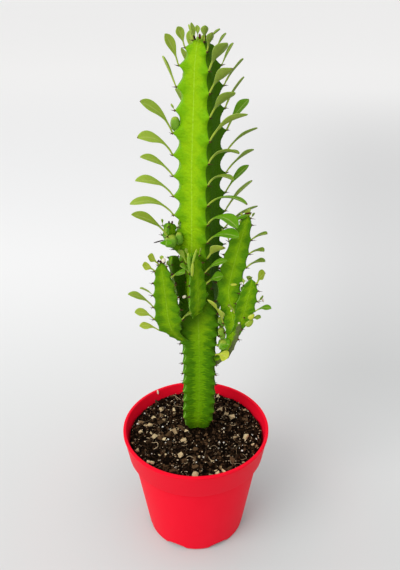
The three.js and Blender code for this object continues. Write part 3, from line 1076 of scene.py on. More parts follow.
class MiddleLine:
    """A smooth line through a stem's stops, read by the distance down from its upper end."""

    SPAN = 60

    def __init__(self, stops: Sequence[Place]) -> None:
        """Run the line through the stops.

        Args:
            stops: Places in millimetres, from the foot to the tip.
        """
        points = [Vector(stop) for stop in stops]
        points = [2 * points[0] - points[1], *points, 2 * points[-1] - points[-2]]
        self.places: list[Vector] = []
        for one, two, three, four in zip(points, points[1:], points[2:], points[3:]):
            leave, arrive = (three - one) * 0.5, (four - two) * 0.5
            for step in range(self.SPAN):
                t = step / self.SPAN
                cubic = (2 * two - 2 * three + leave + arrive) * t ** 3
                square = (-3 * two + 3 * three - 2 * leave - arrive) * t ** 2
                self.places.append(cubic + square + leave * t + two)
        self.places.append(points[-2])
        self.places.reverse()
        self.reach = [0.0]
        for before, after in zip(self.places, self.places[1:]):
            self.reach.append(self.reach[-1] + (after - before).length)
        self.length = self.reach[-1]

    def at(self, depth: float) -> Vector:
        """Find a place on the line.

        Args:
            depth: How far down it is, which is kept to the line's ends.

        Returns:
            The place.
        """
        depth = min(max(depth, 0.0), self.length)
        high = min(bisect_right(self.reach, depth), len(self.reach) - 1)
        low = high - 1
        part = (depth - self.reach[low]) / (self.reach[high] - self.reach[low])
        return self.places[low].lerp(self.places[high], part)


@dataclass(frozen=True)
class Spot:
    """A place at a depth on a stem, with the directions away from it, sideways and along the ribs."""

    depth: float
    place: Vector
    out: Vector
    side: Vector
    rise: Vector


@dataclass(frozen=True)
class Leaf:
    """A spatula-shaped leaf on a short stalk, in the axil of a tooth.

    Its angles are in degrees above the level, and its turn aside is to the left as seen from outside. Its
    age runs from 1, yellow, through 0, olive, to -1, a lush green.
    """

    row: float
    length: float
    foot: float
    tip: float
    width: float
    aside: float = 0.0
    roll: float = 0.0
    age: float = 0.0
    tone: float = 0.9

    ROOT = 2.2
    ROOT_PART = 0.6
    ROOT_RISE = 0.5
    LIFT = 1.0
    STEPS = 20
    SIDES = 16
    STALK = 0.15
    STALK_END = 0.16
    FULLEST = 1.75
    BLUNT = 0.74
    LEAST = 0.02
    THICK = 0.55
    THICK_PART = 1.1
    THINNING = 0.35
    LAST = 0.9985
    TWIST = 0.06
    FOLD = 0.16
    FOLD_CURVE = 1.6
    RIPPLES = 9.0
    RIPPLE_LAG = 2.0
    RIPPLE_HEIGHTS = (0.03, 0.135)
    GROOVES = (-0.24, -0.16)
    GROOVE_START = 0.15
    GROOVE_WIDTH = 0.1
    SHADED = 0.75
    UNEVEN_TONE = (-0.15, 0.15)
    UNEVEN_AGE = (-0.04, 0.08)
    SCORCHED = 0.3

    def half(self, part: float) -> float:
        """Return half the leaf's width at a part of its length.

        Args:
            part: 0 at its foot and 1 at its tip.

        Returns:
            Half the width of its stalk or blade.
        """
        blade = max(0.0, (part - self.STALK_END) / (1.0 - self.STALK_END))
        bulge = math.sin(math.pi * blade ** self.FULLEST) ** self.BLUNT if 0.0 < blade < 1.0 else 0.0
        return 0.5 * self.width * max(bulge, self.STALK * (1.0 - part ** 6), self.LEAST)

    def grow(self, bm: Mesh, spot: Spot, rng: random.Random) -> None:
        """Add the leaf to a mesh.

        Args:
            bm: The mesh of the stem's leaves.
            spot: The tooth that it grows over.
            rng: The draws.
        """
        yaw, foot, tip, roll = (math.radians(turn) for turn in (self.aside, self.foot, self.tip, self.roll))
        forward = spot.out * math.cos(yaw) + spot.side * math.sin(yaw)
        level = spot.rise.cross(forward)
        wave, phase = rng.uniform(*self.RIPPLE_HEIGHTS), rng.uniform(0.0, 6.3)
        twist = rng.gauss(0.0, self.TWIST)
        centres = [spot.place - spot.out * self.ROOT, spot.place - spot.out * self.ROOT * self.ROOT_PART]
        centres.append(spot.place + spot.rise * self.LIFT)
        headings = [(forward + spot.rise * self.ROOT_RISE).normalized()] * 2
        headings.append((forward + spot.rise).normalized())
        stops = [math.sin(0.5 * math.pi * step / self.STEPS) for step in range(self.STEPS + 1)]
        for before, after in zip(stops, stops[1:]):
            angle = foot + (tip - foot) * 0.5 * (before + after)
            headings.append(forward * math.cos(angle) + spot.rise * math.sin(angle))
            centres.append(centres[-1] + headings[-1] * self.length * (after - before))
        centres.append(centres[-1])
        parts = [0.0, 0.0, *stops, 1.0]
        last = len(parts) - 1

        def place(column: int, row: int) -> Vector:
            """Find a place on the leaf's skin.

            Args:
                column: The column round it, from one rim.
                row: The row, from its root.

            Returns:
                The place.
            """
            if row in (0, last):
                return centres[row]
            here = min(parts[row], self.LAST)
            edge = Matrix.Rotation(roll + twist * here, 3, headings[row]) @ level
            upper = headings[row].cross(edge)
            angle = math.tau * column / self.SIDES
            x, y = math.cos(angle), math.sin(angle)
            half = self.half(here)
            thick = min(self.THICK * (1.0 - self.THINNING * here), half * self.THICK_PART)
            fold = half * self.FOLD * (2.0 * abs(x) ** self.FOLD_CURVE - 1.0)
            lag = self.RIPPLE_LAG if x > 0 else 0.0
            ripple = math.sin(self.RIPPLES * here + phase + lag) * x * abs(x)
            grooved = abs(x) < self.GROOVE_WIDTH and here > self.GROOVE_START
            groove = self.GROOVES[y > 0] if grooved else 0.0
            rise = thick * y + fold + half * wave * ripple + groove
            return centres[row] + edge * half * x + upper * rise

        # Painted shade: leaves that face away from the light get a darker tone.
        lit = self.tone - self.SHADED * max(0.0, spot.out.dot(SHADED_SIDE))
        rolled(
            bm,
            even(self.SIDES),
            parts,
            place,
            tone=lit + rng.uniform(*self.UNEVEN_TONE),
            age=min(1.0, max(0.0, self.age + rng.uniform(*self.UNEVEN_AGE))),
            lush=max(0.0, -self.age),
            scorch=1.0 if rng.random() < self.SCORCHED else 0.0,
        )


@dataclass
class Stem:
    """A ribbed stem with its leaves and spines.

    Depths are measured along its middle line, down from the growing tip. A row of teeth runs round it at
    each pitch, and each rib's teeth are staggered by a part of a row. Each leaf is given by Leaf's fields.
    """

    name: str
    seed: int
    path: Sequence[Place]
    radius: Stops
    pitch: Stops
    notch: Stops
    leaves: Sequence[Sequence[tuple[float, ...]]] = ()
    pale: Colour = (0.215, 0.42, 0.003)
    deep: Colour = (0.085, 0.24, 0.003)
    ribs: int = 3
    stagger: Sequence[float] = (0.5, 0, 0.25)
    turn: Stops = ((0, 210),)
    valley: float = 0.44
    flank: float = 2.6
    cork: Stops = ((0, 0),)
    # Painted shade by depth, where the skin lies in the crotch among the shoots.
    crotch_shade: Stops = ((0, 0),)
    # Painted shade added to, or taken from, the whole stem.
    shade_offset: float = 0.0

    COLUMNS = (0, 0.03, 0.07, 0.12, 0.19, 0.28, 0.38, 0.47, 0.5, 0.53, 0.62, 0.72, 0.81, 0.88, 0.93, 0.97)
    RINGS = (0, 0.035, 0.10, 0.20, 0.34, 0.5, 0.66, 0.80, 0.90, 0.965)
    LEAST = 1.0
    FRAME_STEP = 0.75
    THIN = 1.22
    SCALLOP = 1.25
    SCALLOP_FLAT = 2.3
    SOFTNESS = 0.5
    CAP = (0.4, 0.62)
    LUMP_WIDTH = 7.0
    LUMP_HEIGHT = 0.35
    LUMP_FULL = 8.0
    CORK_SIDE = Vector((0.85, -0.15, -0.50))
    CORK_LEAST = 0.1
    SHADE_CURVE = 1.5
    SLANT = 24.0
    PAD_SUNK = 0.35
    PAD_SIZES = (0.55, 0.85)
    PAD_SHAPE = (1.0, 1.25, 0.8)
    PAD_TONES = (0.4, 0.9)
    SPINELESS = 30.0
    SPINE_LENGTH = 4.0
    SPINE_SHORTER = (0.55, 1.0)
    SPINE_SUNK = 0.5
    SPINE_SPREAD = 38.0
    SPINE_UNEVEN = 7.0
    SPINE_RISE = (0.0, 0.3)
    SPINE_TONES = (0.0, 0.6)
    SPINE = {"segments": 5, "radius1": 0.36 * MM, "radius2": 0.05 * MM, "cap_ends": True}

    def __post_init__(self) -> None:
        """Run the middle line, space the teeth and start the draws."""
        self.rng = random.Random(self.seed)
        self.line = MiddleLine(self.path)
        self.rows = [self.pitch[0][0]]
        while self.rows[-1] < self.line.length:
            self.rows.append(self.rows[-1] + along(self.pitch, self.rows[-1]))

    def depth(self, row: float) -> float:
        """Return the depth of a row of teeth.

        Args:
            row: The row, which may be a part row.

        Returns:
            The depth, no deeper than the stem's foot.
        """
        whole = min(math.floor(row), len(self.rows) - 2)
        start = self.rows[whole]
        return min(start + (row - whole) * (self.rows[whole + 1] - start), self.line.length)

    def spot(self, depth: float, angle: float, distance: float) -> Spot:
        """Find a spot.

        Args:
            depth: How far down it is.
            angle: Its angle from the first rib, in degrees.
            distance: How far from the middle line it is.

        Returns:
            The spot.
        """
        rise = (self.line.at(depth - self.FRAME_STEP) - self.line.at(depth + self.FRAME_STEP)).normalized()
        across = (SIDEWAYS - rise * rise.dot(SIDEWAYS)).normalized()
        turn = math.radians(along(self.turn, depth) + angle)
        out = across * math.cos(turn) + rise.cross(across) * math.sin(turn)
        return Spot(depth, self.line.at(depth) + out * distance, out, rise.cross(out), rise)

    def tooth(self, rib: int, row: float) -> Spot:
        """Return the spot of a tooth's point."""
        depth = self.depth(row + self.stagger[rib])
        return self.spot(depth, 360.0 * rib / self.ribs, along(self.radius, depth))

    def skin_spot(self, column: int, row: float, cap: bool) -> Spot:
        """Find a spot on the skin.

        Args:
            column: The column, counted from the first rib.
            row: The row of teeth, which may be a part row.
            cap: Whether it is on the small ring that closes the tip.

        Returns:
            The spot.
        """
        rib, part = divmod(column, len(self.COLUMNS))
        part = self.COLUMNS[part]
        lag = self.stagger[rib] * (1 - part) + self.stagger[(rib + 1) % self.ribs] * part
        depth = self.depth(row + lag)
        whole = along(self.radius, depth)
        low = whole * self.valley
        plain = low + (whole - low) * abs(2.0 * part - 1.0) ** (self.flank * self.THIN)
        scallop = self.SCALLOP * (1.0 - abs(2.0 * (row % 1.0) - 1.0) ** self.SCALLOP_FLAT)
        distance = soft_min(plain, whole - scallop * along(self.notch, depth), self.SOFTNESS)
        if cap:
            depth, distance = depth * self.CAP[0], distance * self.CAP[1]
        spot = self.spot(depth, (rib + part) * 360.0 / self.ribs, distance)
        lump = noise.noise(spot.place / self.LUMP_WIDTH + SIDEWAYS * self.seed) * self.LUMP_HEIGHT
        return replace(spot, place=spot.place + spot.out * (lump * min(1.0, whole / self.LUMP_FULL)))

    def skin(self) -> Mesh:
        """Build the stem's skin, with its scalloped ribs.

        Returns:
            Its mesh.
        """
        rings = [0.0, 0.0]
        deepest = self.line.length - self.LEAST
        for row in (whole + part for whole in range(len(self.rows)) for part in self.RINGS):
            if self.depth(row + 0.5) >= deepest:
                break
            rings.append(row)
        rings += [len(self.rows) - 1.0] * 2
        last = len(rings) - 1

        def place(column: int, row: int) -> Vector:
            """Find a place on the skin.

            Args:
                column: The column, from the first rib.
                row: The ring, from the tip.

            Returns:
                The place.
            """
            if row in (0, last):
                return self.line.at(0.0 if row == 0 else self.line.length)
            return self.skin_spot(column, rings[row], row == 1).place

        def cork(column: int, row: int) -> float:
            """Return how corky the skin is."""
            spot = self.skin_spot(column, rings[row], row == 1)
            return along(self.cork, spot.depth) * (self.CORK_LEAST + max(0.0, spot.out.dot(self.CORK_SIDE)))

        def shade(column: int, row: int) -> float:
            """Find how much painted shade the skin gets, where it is turned from the light or hidden among
            the shoots.

            Args:
                column: The column, from the first rib.
                row: The ring, from the tip.

            Returns:
                0 for no painted shade, to 1 for full painted shade.
            """
            face, part = divmod(column, len(self.COLUMNS))
            depth = self.depth(rings[row])
            turned_away = self.spot(depth, (face + 0.5) * 360.0 / self.ribs, 0.0).out.dot(SHADED_SIDE)
            shade_cover = along(self.crotch_shade, depth + self.SLANT * (self.COLUMNS[part] - 0.5))
            return min(1.0, max(0.0, turned_away) ** self.SHADE_CURVE + self.shade_offset + shade_cover)

        bm = bmesh.new()
        across = [rib + part for rib in range(self.ribs) for part in self.COLUMNS] + [self.ribs]
        rolled(bm, across, rings, place, cork=cork, shade=shade)
        return bm

    def armed(self) -> Mesh:
        """Build the pads and pairs of spines at the teeth, down to the bare foot.

        Returns:
            Their mesh.
        """
        bm, rng = bmesh.new(), self.rng
        lowest = self.line.length - min(self.SPINELESS, self.line.length / 2.0)
        rows = [row for row in range(len(self.rows)) if self.depth(row + 0.5) < lowest]
        for spot in (self.tooth(rib, row) for row in rows for rib in range(self.ribs)):
            where = Matrix.Translation((spot.place - spot.out * self.PAD_SUNK) * MM) @ turned(spot.out)
            size = rng.uniform(*self.PAD_SIZES) * MM
            where @= Matrix.Diagonal((*(size * part for part in self.PAD_SHAPE), 1.0))
            tone = rng.uniform(*self.PAD_TONES)
            bit(bm, where, tone, bmesh.ops.create_icosphere, subdivisions=1, radius=1.0)
            for hand in (-1, 1):
                spread = math.radians(self.SPINE_SPREAD * hand + rng.gauss(0.0, self.SPINE_UNEVEN))
                heading = spot.out * math.cos(spread) + spot.side * math.sin(spread)
                heading = (heading + spot.rise * rng.uniform(*self.SPINE_RISE)).normalized()
                long = self.SPINE_LENGTH * rng.uniform(*self.SPINE_SHORTER)
                middle = spot.place + heading * (long * 0.5 - self.SPINE_SUNK)
                where = Matrix.Translation(middle * MM) @ turned(heading)
                tone = rng.uniform(*self.SPINE_TONES)
                bit(bm, where, tone, bmesh.ops.create_cone, depth=long * MM, **self.SPINE)
        return bm

    def build(self, leaf: Material, spine: Material) -> None:
        """Build the stem, its leaves and its spines.

        Args:
            leaf: The leaves' material.
            spine: The spines' material.
        """
        finish = SkinFinish(f"{self.name}_skin", self.pale, self.deep)
        piece(self.skin(), f"{self.name}_body", self.name, finish.material())
        if self.leaves:
            bm = bmesh.new()
            for rib, habits in enumerate(self.leaves):
                for habit in habits:
                    grown = Leaf(*habit)
                    grown.grow(bm, self.tooth(rib, grown.row), self.rng)
            piece(bm, f"{self.name}_leaves", self.name, leaf)
        piece(self.armed(), f"{self.name}_spines", self.name, spine)


STEMS = (
    Stem(
        name="main_stem", seed=1, pale=(0.265, 0.485, 0.003), deep=(0.165, 0.395, 0.002), ribs=4,
        stagger=(0.14, 0.3, 0.2, 0.04),
        turn=((0, 201), (50, 201), (80, 197), (150, 197), (192, 222), (232, 225), (400, 225)), valley=0.6,
        flank=2.1,
        path=(
            (0.5, 9, 68), (1.2, 9, 95), (2.6, 9, 125), (2.8, 8.5, 160), (3, 7, 250), (3.4, 6, 340),
            (3.8, 5.5, 398),
        ),
        radius=(
            (0, 2), (1.2, 4.6), (4.4, 10), (14, 14.5), (27, 16.5), (41, 17.5), (56, 19.3), (112, 19.3),
            (160, 19.4), (184, 21), (196, 23.2), (205, 22), (214, 20.4), (224, 18.8), (285, 18.6),
            (295, 16.5), (301, 12), (306, 9), (340, 8),
        ),
        pitch=(
            (1.2, 3.2), (4.4, 9.9), (14, 12.2), (27, 14.4), (70, 14.5), (100, 13.8), (125, 12.6),
            (200, 9.6), (300, 9),
        ),
        notch=((0, 1.4), (14, 3.7), (60, 4.4), (200, 3.8), (240, 3.2), (290, 2.8), (300, 1)),
        crotch_shade=((118, 0), (150, 0.45), (166, 0.75), (186, 0.7), (198, 0.25), (208, 0)),
        leaves=(
            (
                (0, 8.5, 84, 64, 3.6, 0, -20), (1, 12, 76, 60, 6.2, 0, -75), (2, 19.5, 76, 54, 6.8, 0, -70),
                (3, 19.5, 72, 60, 5.6, 0, -25), (4, 4, 70, 50, 2.4), (5, 30, 70, 20, 9, 0, -45),
                (6, 28, 66, -10, 9, 0, -35), (7, 26.5, 60, 6, 7.6, 0, -25), (8, 30, 60, -8, 8, 0, -25),
                (9, 34, 58, -20, 8.4, 0, -25),
            ),
            (
                (0, 8.5, 88, 80, 5), (1, 11, 80, 60, 6, 26), (2, 20.5, 70, 34, 9.4, 34, -25),
                (3, 22.5, 66, 22, 8.6, 34, -25), (4, 24.5, 65, 21, 8.6, 34, -25),
                (5, 31, 65, 9, 9.2, 50, -20), (6, 26, 68, -22, 8, 42, -10), (7, 23, 66, -30, 7, 38),
                (8, 32, 53, -31, 6.4, 43, -5, -0.5), (9, 28, 64, -52, 10.2, 38, 15, -0.8),
                (10, 28, 56, -14, 10.2, 38, 20, -0.9), (11, 20.5, 62, 22, 10.4, 28, -30, 0.3),
                (18, 10.5, 44, -10, 9.4, 20, 35, -0.8), (19, 10, 26, -34, 9.4, 20, 35, 0.95),
            ),
            (
                (0, 9, 50, 26, 3), (1, 9.6, 62, 42, 3.6), (2, 14, 70, 50, 4.6), (3, 20, 66, 35, 6, 0, -30),
                (4, 22.5, 72, 40, 6.4, 0, -30), (5, 24, 66, 36, 9, 0, 20, -0.6),
                (6, 26.5, 58, 8, 7, 0, -30), (7, 24.5, 58, 14, 6.4, 0, -30),
                (8, 24, 62, 32, 7.4, 0, 15, -0.5), (9, 28, 62, 30, 8.4, 0, -15),
                (10, 28.5, 50, 8, 7, 0, -25),
            ),
            (
                (0, 7, 84, 70, 3.4), (1, 12, 78, 60, 4.8, 12, 20), (2, 18, 74, 54, 6, -8, -10),
                (3, 21, 72, 42, 7.4, 15, 20), (4, 25, 72, 30, 8.4, -12, -20), (5, 28, 70, 18, 9, 10, 15),
                (6, 28, 70, 4, 8.6, -10, -20), (7, 27, 68, 0, 8.6, 14, 20), (8, 29, 66, -8, 9, -12, -10),
                (9, 28, 64, -14, 8.6, 8, 10), (10, 26, 62, -16, 8.4, -10, -10), (11, 20, 60, -10, 7),
            ),
        ),
    ),
    Stem(
        name="shoot_right_tall", seed=2, turn=((0, 205), (120, 200)),
        path=(
            (10, 3.5, 160), (21, 0, 169.5), (25.4, -3.5, 180), (27.8, -5.5, 190), (28.2, -8, 206),
            (26, -8, 220), (24.4, -7, 232), (27.8, -4, 250), (31.8, -2, 266), (36.6, -1, 285),
        ),
        radius=(
            (0, 1.5), (3.5, 4.8), (10, 6.8), (20, 9.4), (36, 11), (54, 10.8), (66, 10.8), (76, 10.2),
            (86, 7.8), (96, 6.2), (104, 5.4), (112, 5.2), (140, 5),
        ),
        pitch=((1.5, 4), (5.5, 10.2), (120, 10.2)),
        notch=((0, 0.8), (12, 1.8), (80, 1.8), (98, 0.8)),
        cork=((76, 0), (86, 0.8), (118, 1), (140, 1)),
        leaves=(
            (
                (0, 4, 80, 70, 2.4), (2, 12, 64, 20, 5.5, 10), (7, 16, 72, 50, 7.4, 22, 0, 0.5),
                (8, 15, 80, 66, 7.4, 34, 0, 0.2),
            ),
            (
                (0, 4, 80, 66, 2.4), (2, 13, 60, 20, 6, 0, 20), (3, 12, 60, -2, 6, 0, 20),
                (4, 15.5, 62, 6, 7, 0, 20),
            ),
            (
                (0, 5, 80, 66, 2.4), (1, 9, 70, 30, 5), (2, 13, 64, 10, 6, 10), (4, 14, 60, 0, 6, -10),
                (6, 12, 56, 0, 6),
            ),
        ),
    ),
    Stem(
        name="shoot_left_front", seed=3, stagger=(0, 0.35, 0.6),
        path=(
            (-4, 2, 182), (-10.5, -5.5, 189), (-16, -11.5, 199), (-19.2, -13, 211), (-20.6, -13.4, 226),
            (-22.2, -13, 241), (-23.5, -13, 254.5),
        ),
        radius=(
            (0, 1.5), (3, 5.2), (7, 7.4), (16, 9.4), (24, 10.6), (36, 11.8), (46, 12.2), (52, 9.8), (58, 6),
            (66, 4.4), (90, 4.4),
        ),
        pitch=((1, 4), (5, 8.4), (14, 9.2), (90, 9.4)),
        notch=((0, 0.8), (10, 1.8), (52, 2), (62, 0.6)),
        leaves=(
            (
                (0, 9.5, 60, 40, 7, -10, -40, 0.45), (1, 9.5, 50, 24, 7.4, -10, -35, 0.45),
                (3, 11, 64, 22, 2.8, -10), (4, 22, 64, 18, 6, -10, -30),
                (5, 16, 64, 10, 6.6, -10, -38, 0.2), (6, 15.5, 62, 16, 6, -10, -28, 0.4),
            ),
            ((0, 4, 80, 60, 2.4), (1.3, 15, 45, 5, 7, -15, 20, -0.7), (5, 10, 60, 10, 5, 10)),
            ((0, 5, 70, 40, 3), (2, 13, 60, 6, 6, 10), (4, 15, 56, -4, 7, -10)),
        ),
    ),
    Stem(
        name="shoot_front", seed=4, turn=((0, 252), (60, 245)), shade_offset=-0.5,
        path=((0.5, 2, 207), (0, -7, 212), (-0.5, -13.5, 222), (-0.7, -15.5, 238), (-2, -15.5, 263)),
        radius=((0, 1.5), (3, 5), (10, 7.4), (20, 9.2), (34, 10.4), (42, 9), (50, 6), (70, 5)),
        pitch=((3, 5.4), (8, 8.2), (70, 8.6)),
        notch=((0, 0.7), (10, 1.4), (40, 1.4), (50, 0.5)),
        leaves=(
            ((0, 5, 82, 74, 2.2), (1, 9.5, 70, 26, 6, -50, -20, -0.7)),
            ((0, 5, 82, 70, 2.2), (2, 18.5, 55, 6, 6.5, -20, 15, -0.7), (3, 13, 50, 5, 9, -20, 20, -0.8)),
            ((0, 5, 80, 70, 2.4), (1, 11, 66, 20, 5)),
        ),
    ),
    Stem(
        name="shoot_right_front", seed=5,
        path=((27.5, -5.5, 191), (31.5, -8.5, 200), (34.2, -11, 211), (36.4, -13, 224), (39.8, -14, 242)),
        radius=((0, 1.5), (2.5, 5.4), (7, 7.4), (14, 8.8), (24, 9.2), (32, 7.6), (40, 5.2), (70, 3.8)),
        pitch=((2, 4.6), (6.6, 8.2), (60, 8.6)),
        notch=((0, 0.7), (10, 1.5), (32, 1.5), (40, 0.5)),
        leaves=(
            ((0, 5, 80, 60, 3), (3, 11, 70, 30, 5)),
            (
                (0, 10.5, 92, 50, 9.4, 6, 40, 0.35), (2, 6, 60, 80, 3), (3, 13, 62, 8, 5.4, 0, 10, -0.5),
                (4, 8, 60, 20, 4.6, 0, 20),
            ),
            ((1, 6, 50, 20, 4.4), (3, 12, 60, 0, 6, 0, 0, -0.5)),
        ),
    ),
    Stem(
        name="shoot_left_back", seed=6, stagger=(0, 0.5, 0.5), turn=((0, 262),), shade_offset=-0.6,
        path=((-6, 3, 257), (-13, 0.8, 260), (-17.8, -1.2, 267), (-17.6, -2.2, 280)),
        radius=((0, 1.6), (2.5, 5.4), (7, 7.2), (13, 7), (19, 5), (30, 4.2)),
        pitch=((1.6, 6), (8, 8)),
        notch=((0, 0.8), (6, 2.2), (20, 1.6)),
        leaves=(
            ((1, 32.5, 60, 13, 8.6, -60, -25, 0.15), (1.4, 6.5, 20, -40, 8.8, 0, 0, -1)),
            ((0, 5, 82, 70, 2.4),),
            ((0, 4, 80, 70, 2.2),),
        ),
    ),
    Stem(
        name="shoot_left_small", seed=7, turn=((0, 262),), shade_offset=0.1,
        path=(
            (-6, 2, 212), (-10.6, -1.5, 225), (-12.8, -4.6, 239), (-14.8, -6.6, 248), (-15.6, -7.8, 257.5),
        ),
        radius=((0, 1.2), (2.4, 4.6), (7, 6), (14, 6.8), (24, 7.2), (34, 7), (44, 5.4), (60, 5)),
        pitch=((1.8, 5.4), (8, 8.2)),
        notch=((0, 0.7), (10, 1.4), (44, 1.4), (50, 0.5)),
    ),
)


# Small lumps on the plant


class Nature(Enum):
    """What a small lump is: green and growing, pale and dry, or dark and dried up."""

    GREEN = "buds"
    DRY = "scraps"
    DARK = "stubs"


@dataclass(frozen=True)
class Bud:
    """A small lump, as an egg between two places. Its age runs from green to yellow, or dark to pale."""

    start: Place
    end: Place
    radius: float
    age: float

    SIDES = 12
    STEPS = 10
    FULL = 0.8
    RIDGE = 0.12
    RIDGES = 4.0

    def grow(self, bm: Mesh) -> None:
        """Add the lump to a mesh.

        Args:
            bm: The mesh of its cluster.
        """
        start, end = Vector(self.start), Vector(self.end)
        axis = (end - start).normalized()
        across = axis.orthogonal().normalized()

        def place(column: int, row: int) -> Vector:
            """Find a place on the lump's skin.

            Args:
                column: The column round it.
                row: The row along it.

            Returns:
                The place.
            """
            turn, rise = math.tau * column / self.SIDES, math.pi * row / self.STEPS
            half = self.radius * math.sin(rise) ** self.FULL if 0 < row < self.STEPS else 0.0
            ring = across * math.cos(turn) + axis.cross(across) * math.sin(turn)
            ridge = 1.0 + self.RIDGE * math.cos(self.RIDGES * turn)
            return start.lerp(end, 0.5 - 0.5 * math.cos(rise)) + ring * half * ridge

        values = {"age": self.age, "tone": self.age, "lush": 1.0 - self.age, "scorch": 0.0}
        rolled(bm, even(self.SIDES), even(self.STEPS), place, **values)


@dataclass(frozen=True)
class Cluster:
    """The small lumps of one nature that belong to one node."""

    node: str
    nature: Nature
    buds: Sequence[Bud]

    def build(self, finish: Material) -> None:
        """Build the lumps as one piece.

        Args:
            finish: Their material.
        """
        bm = bmesh.new()
        for bud in self.buds:
            bud.grow(bm)
        piece(bm, f"{self.node}_{self.nature.value}", self.node, finish)


CLUSTERS = (
    Cluster("main_stem", Nature.GREEN, (
        Bud((-12.8, 3, 350.8), (-12.6, 3, 341.6), 3.4, 0.05),
        Bud((1.8, 0.4, 396.6), (2, -0.8, 398.8), 0.9, 0.2),
        Bud((4.8, 0.8, 396.8), (5, -0.4, 399.6), 1, 0.3),
    )),
    Cluster("main_stem", Nature.DARK, (
        Bud((0.6, 0.6, 396.6), (-0.6, 0, 399.6), 0.7, 0.2),
        Bud((3.4, 0.8, 397.2), (3.2, 0.2, 400.4), 0.8, 0.6),
        Bud((6, 1.6, 396.8), (6.8, 1, 399.8), 0.8, 0.3), Bud((7.6, 3.6, 396), (9, 3.2, 398.6), 0.7, 0.7),
    )),
    Cluster("shoot_front", Nature.GREEN, (
        Bud((1.2, -23.6, 269.4), (-1.9, -24.8, 258.6), 0.9, 0.3),
        Bud((-1.5, -25, 260), (-2.1, -24.2, 249.2), 1.2, 0.45),
        Bud((-4.6, -22, 266), (-3.4, -23.4, 252), 1.3, 0.1),
    )),
    Cluster("shoot_front", Nature.DRY, (Bud((-9.2, -14, 227.4), (-6.4, -14.4, 229), 1, 0.8),)),
    Cluster("shoot_left_back", Nature.GREEN, (
        Bud((-17, -7, 272.4), (-17.1, -6.6, 263.6), 4.9, 0), Bud((-11.6, -3, 273), (-10.6, -3, 264), 3, 0),
    )),
    Cluster("shoot_left_back", Nature.DARK, (
        Bud((-29.2, -3, 265), (-21.6, -3.4, 267.4), 0.45, 0.1),
        Bud((-17.9, -2.2, 278.8), (-18.1, -2.4, 281.2), 0.7, 0.2),
        Bud((-15.9, -2.2, 278.8), (-15.7, -2.4, 281.2), 0.7, 0.4),
    )),
    Cluster("shoot_left_front", Nature.DRY, (Bud((-22.8, -15, 255.8), (-20.8, -15.4, 258.4), 1.5, 0.9),)),
    Cluster("shoot_left_front", Nature.DARK, (
        Bud((-24.6, -14.4, 255.4), (-22.2, -15.8, 257.2), 1, 0.3),
        Bud((-22, -15, 254.6), (-20.6, -15.8, 256.6), 0.9, 0.5),
        Bud((-26.2, -13.4, 254.6), (-24.8, -14.4, 257), 0.7, 0.2),
    )),
    Cluster("shoot_right_front", Nature.GREEN, (
        Bud((38.4, -14.5, 210.5), (42.2, -15.5, 214.6), 2.1, 0.9),
        Bud((37, -12.5, 203.2), (41.6, -13.5, 209), 2.6, 0.35),
    )),
    Cluster("shoot_right_front", Nature.DRY, (Bud((47, -14, 228), (49, -14, 223.8), 0.7, 0.6),)),
    Cluster("shoot_right_tall", Nature.GREEN, (
        Bud((24.8, -14.6, 238), (29.4, -14.6, 238.2), 0.9, 0.8),
        Bud((18.6, -5, 212.6), (20.2, -5, 206), 2.4, 0.05),
        Bud((18.2, -5.4, 206.2), (20, -4.6, 197.6), 2.9, 0),
        Bud((19, -5, 197.2), (20.6, -4.6, 187.2), 3.2, 0.1), Bud((20.8, -7, 187.2), (21, -6, 179), 4.2, 0),
        Bud((22.2, -6.4, 201.6), (24.6, -6, 196.4), 1.9, 0.15),
        Bud((36.9, -2.6, 286.2), (27.4, -3.6, 282.6), 1.3, 0),
    )),
    Cluster("shoot_right_tall", Nature.DRY, (
        Bud((31.4, -13.6, 238.4), (33.2, -13.6, 239.4), 0.6, 0.9),
        Bud((31.2, -13, 205.2), (32.6, -13, 206.4), 0.7, 0.8),
        Bud((25.4, -16.6, 217.6), (26.4, -16.6, 218.8), 0.6, 0.9),
    )),
    Cluster("shoot_right_tall", Nature.DARK, (Bud((34, -3.4, 286.8), (38.8, -3.2, 287.4), 0.6, 0.5),)),
    Cluster("soil", Nature.DRY, (Bud((-34, 44.6, 97.4), (-34.9, 46.6, 100.6), 0.9, 0.6),)),
)


# Studio


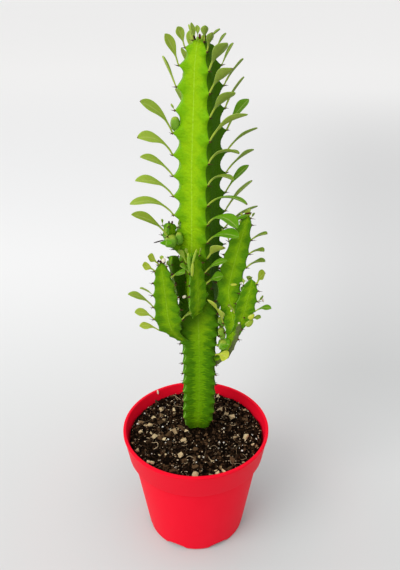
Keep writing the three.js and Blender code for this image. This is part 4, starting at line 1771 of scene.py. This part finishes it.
@dataclass
class Studio:
    """The plain pale studio: a wide floor, grey-white surroundings and one soft light.

    Lengths are in metres here, and the camera looks along +Y and down by an angle from the vertical.
    """

    place: Place = (0.0034, -0.391, 0.430)
    tilt: float = 62.95
    lens: float = 37.9
    sensor: float = 36.0
    floor_size: float = 120.0
    light_from: Place = (-0.55, -0.45, 0.70)
    surround: Colour = (0.97, 0.985, 1.0)
    surround_low: float = 0.20
    surround_high: float = 1.14
    key_place: Place = (-1.05, -1.0, 1.45)
    key_aim: Place = (0.0, 0.15, 0.10)
    key_size: float = 1.35
    key_power: float = 17.4
    finish: FloorFinish = FloorFinish()

    def floor(self) -> None:
        """Lay the floor."""
        bm = bmesh.new()
        bmesh.ops.create_grid(bm, x_segments=1, y_segments=1, size=self.floor_size / 2.0)
        made = meshed("studio_floor", bm)
        made.data.materials.append(self.finish.material())

    def surroundings(self) -> None:
        """Set the surroundings, brightest on the side that the light comes from."""
        tree = Tree(bpy.data.worlds.new("studio"))
        where = tree.node("ShaderNodeTexCoord").outputs["Generated"]
        facing = tree.node("ShaderNodeVectorMath", {0: where, 1: self.light_from}, operation="DOT_PRODUCT")
        span = {"From Min": -1.0, "To Min": self.surround_low, "To Max": self.surround_high}
        spread = tree.node("ShaderNodeMapRange", {"Value": facing.outputs["Value"], **span})
        light = {"Color": self.surround, "Strength": spread.outputs["Result"]}
        back = tree.node("ShaderNodeBackground", light)
        tree.node("ShaderNodeOutputWorld", {"Surface": back.outputs[0]})
        bpy.context.scene.world = tree.owner

    def light(self) -> None:
        """Hang the soft light."""
        lamp = bpy.data.lights.new("key", "AREA")
        lamp.shape = "DISK"
        lamp.size = self.key_size
        lamp.energy = self.key_power
        made = shown("key", lamp)
        made.location = self.key_place
        aim = Vector(self.key_aim) - Vector(self.key_place)
        made.rotation_euler = aim.to_track_quat("-Z", "Y").to_euler()

    def camera(self) -> None:
        """Stand the camera where the photograph was taken from."""
        lens = bpy.data.cameras.new("camera")
        lens.lens = self.lens
        lens.sensor_width = self.sensor
        made = shown("camera", lens)
        made.location = self.place
        made.rotation_euler = (math.radians(self.tilt), 0.0, 0.0)
        bpy.context.scene.camera = made
        view = bpy.context.scene.view_settings
        view.view_transform = "Standard"
        view.look = "None"
        view.exposure = 0.0

    def build(self) -> None:
        """Build the studio."""
        self.floor()
        self.surroundings()
        self.light()
        self.camera()


# Scene


def main() -> None:
    """Build the pot, the potting mix, the plant and the studio."""
    logging.basicConfig(level=logging.INFO, format="%(name)s: %(message)s")
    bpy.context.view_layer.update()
    Pot().build()
    Mix().build()
    leaf = LeafFinish().material()
    spine = DryFinish("spine", (0.030, 0.012, 0.007), (0.16, 0.075, 0.035), 0.6).material()
    scrap = DryFinish("scrap", (0.40, 0.24, 0.13), (0.86, 0.76, 0.62)).material()
    stub = DryFinish("stub", (0.018, 0.009, 0.005), (0.14, 0.045, 0.022)).material()
    for stem in STEMS:
        stem.build(leaf, spine)
    for cluster in CLUSTERS:
        cluster.build({Nature.GREEN: leaf, Nature.DRY: scrap, Nature.DARK: stub}[cluster.nature])
    Studio().build()


if __name__ == "__main__":
    main()
